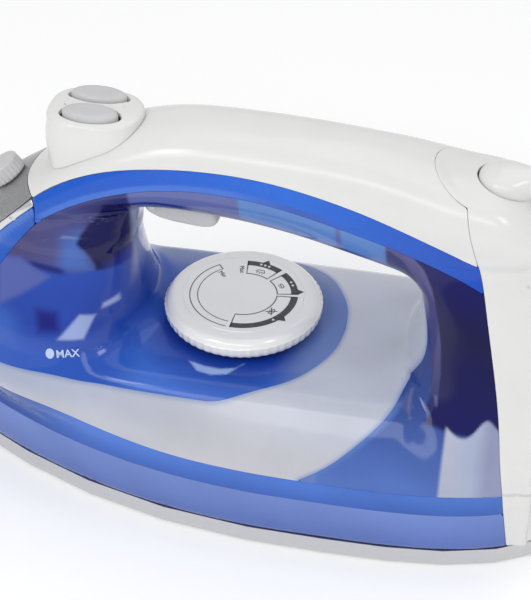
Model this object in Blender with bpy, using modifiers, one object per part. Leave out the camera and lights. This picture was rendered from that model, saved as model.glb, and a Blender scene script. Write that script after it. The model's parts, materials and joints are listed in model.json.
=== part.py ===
"""Steam iron: base, water tank, handle, controls and cord outlet, each piece a separate solid.

The nose points to +X, +Y is the iron's left side and the sole stands on z = 0. Sizes and section tables
are in millimetres, with x measured from the dial's axis and heights from a datum just under the sole,
because the dial is what the rest is laid out around. place() turns them into metres.
"""
import math

import bmesh
import bpy
from mathutils import Matrix, Vector

MM = 0.001
DIAL_X = 5.25         # the dial's axis in front of the middle of the length
DATUM = 4.0           # the heights' datum below the sole
GAP = 0.3             # clearance between pieces that touch
HALF_GAP = GAP / 2
WALL = 2.2            # moulded wall
FAR = 200.0           # past everything, for cutters
WELD = 0.000004       # metres
SHARP = math.radians(32)

SOLE_TOP = 11.7
HEEL_FRONT = -96.0    # front of the hollow under the rear cover, behind the tank's back wall
BASE_TOP = 30.0       # joint between the base skirt and the tank
TUB_TOP = 38.0        # joint between the tank's tub and its upper shells
DECK_HEIGHT = 63.0    # flat deck under the dial
COLUMN_SPLIT = 100.0  # where the handle's underside meets the two columns

DIAL_RADIUS = 29.0
DIAL_LOW = 65.4
DIAL_FACE = 73.0
SHAFT_RADIUS = 2.5
SLEEVE_RADIUS = 6.0

BUTTON_X = 52.5
BUTTON_Y = 5.9
BUTTON_SIZE = (10.0, 4.6)          # half length and half width of the oval buttons
TRIGGER_PIVOT = (31.5, 111.6)
KNOB_PLACE = (86.0, 112.8)
KNOB_TILT = math.radians(34)
GLAND_X = -91.0
FILLER_HEIGHT = 70.5
FILLER_RADIUS = 7.7
FILLER_HINGE = (107.4, 80.0)


# ---------------------------------------------------------------- scene and materials

def clear_scene():
    for obj in list(bpy.data.objects):
        bpy.data.objects.remove(obj, do_unlink=True)


clear_scene()
iron = bpy.data.collections.new("steam_iron")
bpy.context.scene.collection.children.link(iron)
cutters = bpy.data.collections.new("cutters")
cutters.hide_render = True
bpy.context.scene.collection.children.link(cutters)


def material(name, color, roughness, metallic=0.0):
    result = bpy.data.materials.new(name)
    result.use_nodes = True
    shader = result.node_tree.nodes["Principled BSDF"]
    shader.inputs["Base Color"].default_value = (*color, 1.0)
    shader.inputs["Roughness"].default_value = roughness
    shader.inputs["Metallic"].default_value = metallic
    return result


white_gloss = material("white_gloss", (0.83, 0.83, 0.82), 0.25)
blue_gloss = material("blue_gloss", (0.04, 0.16, 0.62), 0.2)
blue_clear = material("blue_clear", (0.05, 0.10, 0.50), 0.12)
pale_clear = material("pale_clear", (0.45, 0.49, 0.62), 0.15)
silver_paint = material("silver_paint", (0.45, 0.45, 0.47), 0.35, 0.7)
chrome = material("chrome", (0.75, 0.75, 0.77), 0.1, 1.0)
steel = material("steel", (0.55, 0.55, 0.56), 0.35, 1.0)
cast_metal = material("cast_metal", (0.5, 0.5, 0.52), 0.3, 1.0)
dark_plastic = material("dark_plastic", (0.05, 0.05, 0.06), 0.5)
grey_plastic = material("grey_plastic", (0.55, 0.55, 0.56), 0.4)
brass = material("brass", (0.7, 0.52, 0.25), 0.3, 1.0)


# ---------------------------------------------------------------- modelling helpers

def place(x, y, z):
    """A point in metres from millimetres measured from the dial's axis."""
    return Vector(((x + DIAL_X) * MM, y * MM, (z - DATUM) * MM))


def add_object(name, mesh, look=None, group=iron):
    obj = bpy.data.objects.new(name, mesh)
    group.objects.link(obj)
    if group is cutters:
        obj.display_type = "WIRE"
    if look:
        obj.data.materials.clear()
        obj.data.materials.append(look)
    return obj


def mesh_from(bm, name):
    bmesh.ops.recalc_face_normals(bm, faces=bm.faces)
    mesh = bpy.data.meshes.new(name)
    bm.to_mesh(mesh)
    bm.free()
    return mesh


def loft(name, rings, look=None, group=cutters):
    """A closed solid through rings of equal count, with a cap on the first and the last ring."""
    bm = bmesh.new()
    rows = [[bm.verts.new(point) for point in ring] for ring in rings]
    count = len(rows[0])
    for lower, upper in zip(rows, rows[1:]):
        for i in range(count):
            j = (i + 1) % count
            bm.faces.new((lower[i], lower[j], upper[j], upper[i]))
    bm.faces.new(reversed(rows[0]))
    bm.faces.new(rows[-1])
    return add_object(name, mesh_from(bm, name), look, group)


def prism(name, outline, direction, low, high, look=None, group=cutters):
    """A flat outline extruded from low to high: "z" takes (x, y) points and "y" takes (x, z) points."""
    bm = bmesh.new()
    if direction == "z":
        start = [place(a, b, low) for a, b in outline]
        shift = Vector((0, 0, (high - low) * MM))
    else:
        start = [place(a, low, b) for a, b in outline]
        shift = Vector((0, (high - low) * MM, 0))
    face = bm.faces.new([bm.verts.new(point) for point in start])
    grown = bmesh.ops.extrude_face_region(bm, geom=[face])
    moved = [item for item in grown["geom"] if isinstance(item, bmesh.types.BMVert)]
    bmesh.ops.translate(bm, vec=shift, verts=moved)
    return add_object(name, mesh_from(bm, name), look, group)


def evaluated_mesh(obj):
    bpy.context.view_layer.update()
    graph = bpy.context.evaluated_depsgraph_get()
    return bpy.data.meshes.new_from_object(obj.evaluated_get(graph))


def boolean(target, tool, operation):
    """Apply one exact Boolean to target and drop the tool."""
    modifier = target.modifiers.new(operation.lower(), "BOOLEAN")
    modifier.operation = operation
    modifier.solver = "EXACT"
    modifier.object = tool
    result = evaluated_mesh(target)
    target.modifiers.clear()
    target.data = result
    bpy.data.objects.remove(tool, do_unlink=True)


def clean(obj):
    """Weld what a Boolean left a hair apart."""
    bm = bmesh.new()
    bm.from_mesh(obj.data)
    bmesh.ops.remove_doubles(bm, verts=bm.verts, dist=WELD)
    bmesh.ops.dissolve_degenerate(bm, edges=bm.edges, dist=WELD)
    bm.to_mesh(obj.data)
    bm.free()


def bake(obj):
    """Turn an object's modifiers into plain mesh."""
    mesh = evaluated_mesh(obj)
    obj.modifiers.clear()
    obj.data = mesh


def set_origin(obj, x, y, z):
    """Move a piece's origin onto its joint axis and leave the piece where it is."""
    point = place(x, y, z)
    obj.data.transform(Matrix.Translation(obj.location - point))
    obj.location = point


def turned(name, profile, x, y, look, steps=24, group=iron, tilt=0.0, z=0.0):
    """A turned solid about a vertical (or tilted) axis: profile of (radius, height) down its outer side."""
    bm = bmesh.new()
    verts = [bm.verts.new((radius * MM, 0, height * MM)) for radius, height in profile]
    for first, second in zip(verts, verts[1:]):
        bm.edges.new((first, second))
    if profile[0][0] > 0:
        bm.edges.new((verts[-1], verts[0]))
    mesh = bpy.data.meshes.new(name)
    bm.to_mesh(mesh)
    bm.free()
    obj = add_object(name, mesh, look, group)
    screw = obj.modifiers.new("turn", "SCREW")
    screw.steps = steps
    screw.render_steps = steps
    screw.use_merge_vertices = True
    screw.merge_threshold = 0.00002
    bake(obj)
    obj.location = place(x, y, z)
    obj.rotation_euler = (0, tilt, 0)
    return obj


def block(name, center, size, look=None, bevel=0.0, group=iron):
    """A box placed by its middle, with its edges rounded if a bevel is given."""
    bm = bmesh.new()
    bmesh.ops.create_cube(bm, size=1.0)
    bmesh.ops.scale(bm, vec=Vector(size) * MM, verts=bm.verts)
    mesh = bpy.data.meshes.new(name)
    bm.to_mesh(mesh)
    bm.free()
    obj = add_object(name, mesh, look, group)
    if bevel:
        rounded = obj.modifiers.new("round", "BEVEL")
        rounded.width = bevel * MM
        rounded.segments = 2
        rounded.limit_method = "ANGLE"
        bake(obj)
    obj.location = place(*center)
    return obj


def cylinder(name, start, end, radius, look=None, sides=16, group=iron):
    """A round bar between two points."""
    first, last = place(*start), place(*end)
    axis = last - first
    bm = bmesh.new()
    bmesh.ops.create_cone(bm, cap_ends=True, segments=sides, radius1=radius * MM,
                          radius2=radius * MM, depth=axis.length)
    turn = axis.to_track_quat("Z", "Y").to_matrix().to_4x4()
    bmesh.ops.transform(bm, matrix=Matrix.Translation((first + last) / 2) @ turn, verts=bm.verts)
    return add_object(name, mesh_from(bm, name), look, group)


def tube(name, points, radius, look):
    """A wire or rod along a list of points, with its ends closed."""
    curve = bpy.data.curves.new(name, "CURVE")
    curve.dimensions = "3D"
    curve.bevel_depth = radius * MM
    curve.bevel_resolution = 2
    curve.use_fill_caps = True
    spline = curve.splines.new("POLY")
    spline.points.add(len(points) - 1)
    for item, point in zip(spline.points, points):
        item.co = (*place(*point), 1.0)
    route = bpy.data.objects.new(name, curve)
    cutters.objects.link(route)
    mesh = evaluated_mesh(route)
    bpy.data.objects.remove(route, do_unlink=True)
    return add_object(name, mesh, look)


def coil(radius, turns, start, pitch, per_turn=8):
    """Points of a helix: radius, turns, (x, y, z) of its start and its rise for each turn."""
    points = []
    for i in range(int(turns * per_turn) + 1):
        angle = 2 * math.pi * i / per_turn
        points.append((start[0] + radius * math.cos(angle), start[1] + radius * math.sin(angle),
                       start[2] + pitch * i / per_turn))
    return points


def along(table, x):
    """Straight-line reading of a table of (x, value) in rising x."""
    if x <= table[0][0]:
        return table[0][1]
    for (x0, v0), (x1, v1) in zip(table, table[1:]):
        if x <= x1:
            return v0 + (v1 - v0) * (x - x0) / (x1 - x0)
    return table[-1][1]


# ---------------------------------------------------------------- the outer form

def plan_ring(level, inset=0.0, half_count=15):
    """One level of a body: (z, half width, nose x, heel x, widest x, nose power, nose round, heel power)."""
    z, width, front, back, widest, power, roundness, heel_power = level
    width -= inset
    front -= inset * 1.25
    back += inset
    side = []
    for i in range(half_count + 1):
        angle = math.pi * i / half_count
        reach = abs(math.cos(angle))
        if angle <= math.pi / 2:
            x = widest + (front - widest) * reach
            y = width * max(0.0, 1 - reach ** power) ** roundness
        else:
            x = widest - (widest - back) * reach
            y = width * max(0.0, 1 - reach ** heel_power) ** 0.5
        side.append((x, y))
    ring = [place(x, y, z) for x, y in side]
    ring += [place(x, -y, z) for x, y in side[-2:0:-1]]
    return ring


TANK_LEVELS = [
    (12.0, 57.5, 129.0, -139.0, -30.0, 2.2, 0.95, 3.4),
    (20.0, 58.0, 129.5, -139.5, -30.0, 2.2, 0.95, 3.4),
    (30.0, 58.0, 128.5, -140.0, -30.0, 2.2, 0.95, 3.4),
    (36.0, 57.0, 126.5, -139.8, -30.0, 2.25, 0.95, 3.4),
    (42.0, 54.0, 123.0, -139.0, -30.0, 2.7, 0.93, 3.4),
    (51.0, 48.0, 117.0, -137.5, -30.0, 3.8, 0.90, 3.2),
    (57.0, 43.0, 113.5, -136.0, -30.0, 5.0, 0.87, 3.0),
    (61.0, 37.5, 111.0, -134.0, -30.0, 5.6, 0.82, 2.8),
    (DECK_HEIGHT, 31.0, 107.0, -130.0, -30.0, 5.6, 0.80, 2.6),
]
HOOD_LEVELS = [
    (52.0, 40.5, 115.0, 24.0, 66.0, 2.5, 0.80, 2.6),
    (58.0, 39.5, 113.0, 29.0, 66.0, 2.5, 0.80, 2.6),
    (65.0, 37.5, 110.5, 33.5, 66.0, 2.4, 0.80, 2.6),
    (75.0, 33.5, 107.0, 36.5, 66.0, 2.3, 0.80, 2.8),
    (85.0, 28.5, 103.5, 37.8, 66.0, 2.2, 0.78, 3.0),
    (92.0, 24.3, 101.0, 38.0, 66.0, 2.2, 0.74, 3.0),
    (97.0, 22.0, 98.0, 38.0, 65.0, 2.2, 0.70, 3.0),
    (104.0, 19.0, 93.0, 37.5, 62.0, 2.2, 0.65, 3.0),
    (109.0, 15.0, 86.0, 37.0, 60.0, 2.2, 0.60, 3.0),
]
COLUMN_LEVELS = [
    (50.0, 48.0, -46.0, -137.5, -98.0, 2.6, 0.50, 2.8),
    (58.0, 43.5, -55.0, -135.5, -98.0, 2.7, 0.50, 2.8),
    (66.0, 39.0, -61.0, -133.0, -96.0, 2.8, 0.50, 2.7),
    (76.0, 34.5, -64.5, -129.5, -95.0, 3.5, 0.50, 2.6),
    (88.0, 30.0, -65.5, -125.5, -93.0, 3.5, 0.50, 2.5),
    (97.0, 26.5, -63.5, -121.5, -90.0, 3.3, 0.50, 2.4),
    (104.0, 23.2, -58.0, -117.5, -87.0, 2.8, 0.50, 2.4),
    (113.0, 18.2, -52.0, -109.5, -82.0, 2.8, 0.50, 2.4),
]
MODULE_LEVELS = [
    (112.0, 13.6, 68.0, 35.0, 52.0, 3.6, 0.40, 3.0),
    (130.0, 13.6, 69.5, 35.0, 52.0, 3.6, 0.40, 3.0),
    (141.0, 13.4, 69.5, 34.5, 52.0, 3.6, 0.40, 3.0),
    (145.0, 12.9, 69.0, 35.0, 52.0, 3.6, 0.40, 3.0),
    (147.2, 11.6, 67.6, 36.4, 52.0, 3.4, 0.40, 2.8),
    (148.0, 9.8, 65.5, 38.5, 52.0, 3.2, 0.42, 2.6),
]
# x, underside z, top z and half width of the handle, from its rear end to its nose
HANDLE_SECTIONS = [
    (-113.0, 112.0, 119.0, 11.0),
    (-107.0, 108.5, 126.5, 17.0),
    (-101.0, 106.0, 131.6, 19.8),
    (-95.0, 104.0, 136.0, 21.0),
    (-80.0, 99.5, 140.0, 21.5),
    (-62.0, 97.5, 143.6, 20.5),
    (-45.0, 100.5, 146.0, 19.0),
    (-25.0, 105.8, 147.6, 18.3),
    (0.0, 110.2, 148.2, 18.0),
    (18.0, 111.5, 147.6, 18.0),
    (34.0, 111.2, 144.2, 18.5),
    (45.0, 109.0, 139.8, 19.0),
    (55.0, 106.5, 134.4, 19.5),
    (64.0, 103.0, 128.2, 20.0),
    (72.0, 100.0, 122.2, 20.0),
    (80.0, 96.0, 116.8, 19.3),
    (88.0, 92.0, 111.4, 17.5),
    (96.0, 88.5, 104.6, 13.5),
    (101.0, 87.0, 98.5, 8.0),
]
SECTION_POWER = 2 / 2.5
UNDERSIDE_TAPER = 0.2


def handle_ring(section, inset=0.0, count=22):
    x, low, high, half_width = section
    middle = low + (high - low) * 0.55
    ring = []
    for i in range(count):
        angle = 2 * math.pi * (i + 0.5) / count
        across, rise = math.cos(angle), math.sin(angle)
        y = (half_width - inset) * math.copysign(abs(across) ** SECTION_POWER, across)
        reach = (high - middle - inset) if rise > 0 else (middle - low - inset)
        if rise < 0:
            y *= 1 - UNDERSIDE_TAPER * abs(rise) ** 1.5
        ring.append(place(x, y, middle + reach * math.copysign(abs(rise) ** SECTION_POWER, rise)))
    return ring


def lift(levels, bottom, top):
    """The same levels with a raised first and a lowered last one, for the inside of a shell."""
    first = (levels[0][0] + bottom, *levels[0][1:])
    last = (levels[-1][0] - top, *levels[-1][1:])
    return [first, *levels[1:-1], last]


def outer_form():
    body = loft("outer", [plan_ring(level) for level in TANK_LEVELS])
    boolean(body, loft("hood", [plan_ring(level) for level in HOOD_LEVELS]), "UNION")
    boolean(body, loft("column", [plan_ring(level) for level in COLUMN_LEVELS]), "UNION")
    boolean(body, loft("handle", [handle_ring(section) for section in HANDLE_SECTIONS]), "UNION")
    boolean(body, loft("module", [plan_ring(level) for level in MODULE_LEVELS]), "UNION")
    return body


def tank_back(levels, back):
    """Levels whose heel end stops at the given x, with the widest place kept in front of it."""
    return [(*level[:3], back, max(level[4], back + 40), *level[5:7], 7.0) for level in levels]


def heel_ring(level, inset, front, half_count=8):
    """The part of one tank level behind the given x, with a straight front."""
    z, width, _, back, widest, _, _, heel_power = level
    reach_front = (widest - front) / (widest - back - inset)
    side = [(front, 0.0)]
    for i in range(half_count + 1):
        reach = reach_front + (1 - reach_front) * math.sin(math.pi / 2 * i / half_count)
        y = (width - inset) * max(0.0, 1 - reach ** heel_power) ** 0.5
        side.append((widest - (widest - back - inset) * reach, y))
    ring = [place(x, y, z) for x, y in side]
    ring += [place(x, -y, z) for x, y in side[-2:0:-1]]
    return ring


def inner_form():
    """Everything hollow: base, tank, hood, column and handle, each WALL inside the outer form."""
    tank = [level for level in TANK_LEVELS if level[0] > BASE_TOP]
    tank = [(BASE_TOP + WALL + HALF_GAP, *TANK_LEVELS[2][1:])] + tank
    hollow = loft("tank_in", [plan_ring(level, WALL) for level in tank_back(lift(tank, 0, WALL), -92.0)])
    base = TANK_LEVELS[:3]
    base = [(base[0][0] - 3, *base[0][1:]), base[1], (BASE_TOP - WALL - HALF_GAP, *base[2][1:])]
    boolean(hollow, loft("base_in", [plan_ring(level, WALL) for level in tank_back(base, -112.0)]), "UNION")
    heel = [(8.0, *TANK_LEVELS[0][1:]), *lift(TANK_LEVELS[1:], 0, WALL)]
    boolean(hollow, loft("heel_in", [heel_ring(level, WALL, HEEL_FRONT) for level in heel]), "UNION")
    throat = (115.0, 11.0, 82.0, 41.0, 60.0, 2.2, 0.6, 3.0)
    hood = [plan_ring(level, WALL) for level in [*HOOD_LEVELS[:-1], throat]]
    boolean(hollow, loft("hood_in", hood), "UNION")
    column = [plan_ring(level, WALL) for level in lift(COLUMN_LEVELS, 4, WALL)]
    boolean(hollow, loft("column_in", column), "UNION")
    inside = [(HANDLE_SECTIONS[0][0] + WALL, *HANDLE_SECTIONS[0][1:])]
    inside += HANDLE_SECTIONS[1:-1]
    inside += [(HANDLE_SECTIONS[-1][0] - WALL, *HANDLE_SECTIONS[-1][1:])]
    boolean(hollow, loft("handle_in", [handle_ring(section, WALL) for section in inside]), "UNION")
    module = [plan_ring(level, WALL) for level in lift(MODULE_LEVELS, 4, WALL)]
    boolean(hollow, loft("module_in", module), "UNION")
    return hollow


shell = outer_form()
boolean(shell, inner_form(), "DIFFERENCE")
clean(shell)


# ---------------------------------------------------------------- parting lines, in (x, z)

BAND_TOP = [(-115, 100.5), (-100, 107.5), (-84, 115), (-61, 124), (-37, 131), (-14, 135.7), (10, 137),
            (30, 135.5), (46, 132), (58, 127), (72.0, 117.5)]
BAND_LOW = [(-115, 92.5), (-100, 99.3), (-84, 106.5), (-61, 114.5), (-37, 121), (-14, 126.5), (10, 128.5),
            (30, 126.5), (46, 122), (58, 116.5), (72.0, 106)]
LIP_LINE = [(72.0, 117.5), (80, 109.8), (88, 101.5), (96, 92.5), (110, 76)]
FRONT_BAND_LOW = [(72.0, 106), (80, 96), (88, 84.5), (96, 74), (110, 58)]
SEAM = [(-107.5, 0.0), (-105.0, 22.0), (-102.5, 43.0), (-99.5, 64.0), (-94.7, 86.5), (-88.2, 108.0),
        (-81.9, 129.0), (-77.0, 160.0)]
COLUMN_EDGE = [(-36.0, 38.0), (-45.0, 43.0), (-54.0, 49.5), (-62.0, 59.0), (-68.0, 71.0), (-71.5, 83.0),
               (-71.5, 91.0), (-68.0, 98.0), (-60.0, 103.0)]
DECK_EDGE = [(-38.0, 0.0), (-36.5, 12.0), (-31.0, 24.0), (-19.0, 35.0), (-5.0, 42.0), (4.0, 52.0)]
DECK_SKIRT = 57.3     # height of the deck's lower edge round the nose
LIP_WIDTH = 1.6
HOOD_BACK = 36.0      # the handle's underside starts here, behind the hood


def shifted(line, rise=0.0, run=0.0):
    return [(x + run, z + rise) for x, z in line]


def region(outline):
    """The volume across the iron inside an outline in (x, z)."""
    return prism("region", outline, "y", -FAR, FAR)


def deck_prism(grow):
    """Round behind the dial and open towards the nose, above the deck's lower edge."""
    near = [(x - grow, y + (grow if y else 0.0)) for x, y in DECK_EDGE] + [(FAR, 52.0 + grow)]
    far = [(x, -y) for x, y in near[:0:-1]]
    return prism("deck", near + far, "z", DECK_SKIRT - grow, FAR)


def piece(name, look, *tools):
    """A copy of the shell kept inside each (operation, tool) in turn."""
    obj = add_object(name, shell.data.copy(), look)
    for operation, tool in tools:
        boolean(obj, tool, operation)
    clean(obj)
    obj.data.materials.clear()
    obj.data.materials.append(look)
    return obj


def seam_edge(low, high):
    """The front side of the seam gap between two heights, upwards."""
    by_height = [(z, x) for x, z in SEAM]
    points = [(low, along(by_height, low)), *[p for p in by_height if low < p[0] < high],
              (high, along(by_height, high))]
    return [(x + HALF_GAP, z) for z, x in points]


def in_front_of_seam(low, high):
    """Outline from the seam to past the nose, between two heights."""
    return [*seam_edge(low, high), (FAR, high), (FAR, low)]


BELOW = 1.0           # under everything, for outlines
skirt = piece("base_skirt", blue_clear,
              ("INTERSECT", region(in_front_of_seam(BELOW, BASE_TOP - HALF_GAP))))
tub = piece("tank_tub", blue_clear,
            ("INTERSECT", region(in_front_of_seam(BASE_TOP + HALF_GAP, TUB_TOP - HALF_GAP))))

column_edge = shifted(COLUMN_EDGE, 0.0, HALF_GAP)
window_outline = [(column_edge[0][0], TUB_TOP + HALF_GAP), *column_edge[1:], (-46.0, 103.0), (-46.0, 75.0),
                  (FAR, 75.0), (FAR, TUB_TOP + HALF_GAP)]
piece("tank_window", pale_clear, ("INTERSECT", region(window_outline)),
      ("DIFFERENCE", deck_prism(HALF_GAP)))

hood_top = shifted(BAND_LOW[7:] + FRONT_BAND_LOW[1:], -HALF_GAP)
top_outline = [(-FAR, TUB_TOP), (-FAR, COLUMN_SPLIT - 9), (30.0, COLUMN_SPLIT - 9),
               (30.0, COLUMN_SPLIT + 5), (HOOD_BACK, 109.3), (HOOD_BACK, along(hood_top, HOOD_BACK))]
top_outline += [point for point in hood_top if point[0] > HOOD_BACK] + [(FAR, 58.0), (FAR, TUB_TOP)]
tank_top = piece("tank_top", blue_clear, ("INTERSECT", region(top_outline)),
                 ("INTERSECT", deck_prism(-HALF_GAP)))

# handle: underside between the columns, band, cover and the raised button housing
lower_front = HOOD_BACK - GAP
UNDER_BACK = -60.0
under = [(x, z) for x, z in shifted(BAND_LOW, -HALF_GAP) if UNDER_BACK < x < lower_front]
under_outline = [(UNDER_BACK, along(BAND_LOW, UNDER_BACK) - HALF_GAP), *under,
                 (lower_front, along(BAND_LOW, lower_front) - HALF_GAP), (lower_front, 109.0),
                 (29.7, COLUMN_SPLIT + 6), (29.7, 90.0), (-45.5, 90.0), (-45.5, 103.4), (UNDER_BACK, 103.4)]
trigger_slot = block("slot", (21.0, 0, 110.0), (34.0, 14.4, 20.0), group=cutters)
piece("handle_lower", blue_clear, ("INTERSECT", region(under_outline)), ("DIFFERENCE", trigger_slot))

band_x = 71.8
band_top = [(x, z) for x, z in shifted(BAND_TOP, -HALF_GAP) if -82 < x < band_x]
band_low = [(x, z) for x, z in shifted(BAND_LOW, HALF_GAP) if -86 < x < band_x]
BAND_END_LOW = 105.6
BAND_END_HIGH = 115.5
band_outline = [*reversed(seam_edge(BAND_END_LOW + HALF_GAP, BAND_END_HIGH - HALF_GAP)), *band_low,
                (band_x, along(BAND_LOW, band_x) + HALF_GAP), (band_x, along(BAND_TOP, band_x) - HALF_GAP),
                *reversed(band_top)]
for side, suffix in ((1, "left"), (-1, "right")):
    half = prism("half", [(-FAR, 0.0), (FAR, 0.0), (FAR, side * FAR), (-FAR, side * FAR)], "z", BELOW, FAR)
    piece("handle_band_" + suffix, blue_gloss, ("INTERSECT", region(band_outline)), ("INTERSECT", half))

HOUSING_LINE = [(32.0, 145.1), (45.0, 140.3), (55.0, 134.9), (64.0, 128.7), (71.6, 123.0)]
cover_outline = [*reversed(seam_edge(BAND_END_HIGH + HALF_GAP, 160.0)),
                 *[(x, z) for x, z in shifted(BAND_TOP, HALF_GAP) if -82 < x < band_x],
                 (band_x, along(BAND_TOP, band_x) + HALF_GAP), *reversed(shifted(HOUSING_LINE, -HALF_GAP)),
                 (32.0, 146.0), (32.0, 160.0)]
piece("handle_cover", white_gloss, ("INTERSECT", region(cover_outline)))

housing_outline = [*shifted(HOUSING_LINE, HALF_GAP, 0.0), (71.6, 160.0), (32.3, 160.0)]


def button_oval(side, grow=0.0, scale=1.0, count=20):
    points = []
    for i in range(count):
        angle = 2 * math.pi * i / count
        points.append((BUTTON_X + (BUTTON_SIZE[0] * scale + grow) * math.cos(angle),
                       side * BUTTON_Y + (BUTTON_SIZE[1] * scale + grow) * math.sin(angle)))
    return points


button_holes = [prism("hole", button_oval(side, GAP), "z", 120.0, 170.0) for side in (1, -1)]
piece("button_housing", white_gloss, ("INTERSECT", region(housing_outline)),
      *[("DIFFERENCE", hole) for hole in button_holes])

# nose of the head: silver fascia over a bright lip over the front band
lip_top = shifted(LIP_LINE, LIP_WIDTH)
fascia_outline = [(72.2, along(lip_top, 72.2) + GAP), *shifted(lip_top, GAP)[1:], (FAR, 76.0), (FAR, 160.0),
                  (72.2, 160.0)]
fascia = piece("silver_fascia", silver_paint, ("INTERSECT", region(fascia_outline)))
lip_outline = [(72.2, LIP_LINE[0][1]), *LIP_LINE[1:], *reversed(lip_top[1:]), (72.2, lip_top[0][1])]
piece("fascia_lip", chrome, ("INTERSECT", region(lip_outline)))
front_outline = [(72.2, along(FRONT_BAND_LOW, 72.2) + HALF_GAP), *shifted(FRONT_BAND_LOW, HALF_GAP)[1:],
                 *reversed(shifted(LIP_LINE, -GAP)[1:]), (72.2, along(LIP_LINE, 72.2) - GAP)]


def filler_bore(grow):
    return cylinder("bore", (80.0, 0, FILLER_HEIGHT), (130.0, 0, FILLER_HEIGHT), FILLER_RADIUS + grow,
                    group=cutters)


front_band = piece("front_band", blue_gloss, ("INTERSECT", region(front_outline)),
                   ("DIFFERENCE", filler_bore(GAP)))
filler_door = piece("filler_door", blue_gloss, ("INTERSECT", region(front_outline)),
                    ("INTERSECT", filler_bore(0.0)))

# rear column and the heel cover behind the seam
column_outline = [(-36.0 - HALF_GAP, TUB_TOP + HALF_GAP), *shifted(COLUMN_EDGE[1:], -HALF_GAP, -HALF_GAP),
                  (UNDER_BACK - 1.0, 103.6), (UNDER_BACK - GAP, 103.6),
                  (UNDER_BACK - GAP, along(BAND_LOW, UNDER_BACK) - HALF_GAP), (-84.0, 106.5 - HALF_GAP),
                  *reversed(seam_edge(TUB_TOP + HALF_GAP, BAND_END_LOW - HALF_GAP))]
piece("rear_column", blue_clear, ("INTERSECT", region(column_outline)))
rear_outline = [(-FAR, 0.0), *[(x - HALF_GAP, z) for x, z in SEAM], (-FAR, 160.0)]
rear_cover = piece("rear_cover", white_gloss, ("INTERSECT", region(rear_outline)))
bpy.data.objects.remove(shell, do_unlink=True)

# round holes: the thermostat's sleeve, the steam knob's stem and the cord swivel
for part in (skirt, tub, tank_top):
    hole = cylinder("hole", (0, 0, 20.0), (0, 0, 70.0), SLEEVE_RADIUS + GAP, group=cutters)
    boolean(part, hole, "DIFFERENCE")
knob_axis = Vector((math.sin(KNOB_TILT), 0, math.cos(KNOB_TILT)))
knob_foot = Vector((KNOB_PLACE[0], 0, KNOB_PLACE[1]))
boolean(fascia, cylinder("hole", knob_foot - 8 * knob_axis, knob_foot + 8 * knob_axis, 2.6, group=cutters),
        "DIFFERENCE")
SWIVEL_RADIUS = 9.0
boolean(rear_cover, cylinder("hole", (GLAND_X, 0, 125.0), (GLAND_X, 0, 150.0), SWIVEL_RADIUS + 0.4, sides=24,
                             group=cutters), "DIFFERENCE")


# ---------------------------------------------------------------- hot base

def sole_ring(z, inset):
    return plan_ring((z, *TANK_LEVELS[0][1:]), inset)


soleplate = loft("soleplate", [sole_ring(DATUM, 1.6), sole_ring(DATUM + 1.2, 0.4), sole_ring(SOLE_TOP, 0.4)],
                 cast_metal, iron)
CHAMBER_INSET = 15.0
chamber = loft("chamber", [sole_ring(DATUM + 4.0, CHAMBER_INSET), sole_ring(SOLE_TOP + 3, CHAMBER_INSET)])
boolean(soleplate, chamber, "DIFFERENCE")


def steam_hole(x, y):
    drill = cylinder("hole", (x, y, DATUM - 1.0), (x, y, DATUM + 6.0), 1.7, sides=8, group=cutters)
    boolean(soleplate, drill, "DIFFERENCE")


for i in range(5):
    for side in (1, -1):
        x = 84.0 - 17.0 * i
        y = side * (8.0 + 5.6 * i ** 0.9)
        steam_hole(x, y)
steam_hole(98.0, 0)

LID_LOW = SOLE_TOP + GAP
LID_HIGH = LID_LOW + 1.6
loft("steam_chamber_lid", [sole_ring(LID_LOW, 11.0), sole_ring(LID_HIGH, 11.0)], steel, iron)

ELEMENT_RADIUS = 3.2
element_height = LID_HIGH + GAP + ELEMENT_RADIUS
element_path = [(-84.0, 17.0, element_height + 5), (-82.0, 17.5, element_height + 1.5),
                (-76.0, 20.0, element_height)]
element_path += [(x, 33.0 - 13.0 * ((x + 30) / 46.0) ** 2, element_height) for x in (-60, -45, -30)]
element_path += [(x, 33.0 - 33.0 * ((x + 30) / 116.0) ** 2, element_height)
                 for x in (-10, 10, 30, 48, 62, 73, 80)]
element_path += [(84.5, 0.0, element_height)]
element_path += [(x, -y, z) for x, y, z in element_path[-2::-1]]
tube("heating_element", element_path, ELEMENT_RADIUS, steel)

THERMOSTAT_TOP = 21.4
turned("thermostat", [(0, THERMOSTAT_TOP), (10.5, THERMOSTAT_TOP), (12.0, THERMOSTAT_TOP - 1),
                      (12.0, LID_HIGH + GAP), (0, LID_HIGH + GAP)], 0, 0, brass, 20)
for i, (x, y) in enumerate([(32.0, 9.0), (32.0, -9.0), (-58.0, 12.0), (-58.0, -12.0)]):
    turned(f"lid_screw_{i + 1}", [(0, LID_HIGH + 2.4), (2.4, LID_HIGH + 2.4), (3.0, LID_HIGH + 1.6),
                                  (3.0, LID_HIGH + GAP), (0, LID_HIGH + GAP)], x, y, steel, 12)


# ---------------------------------------------------------------- dial on the deck

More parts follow.
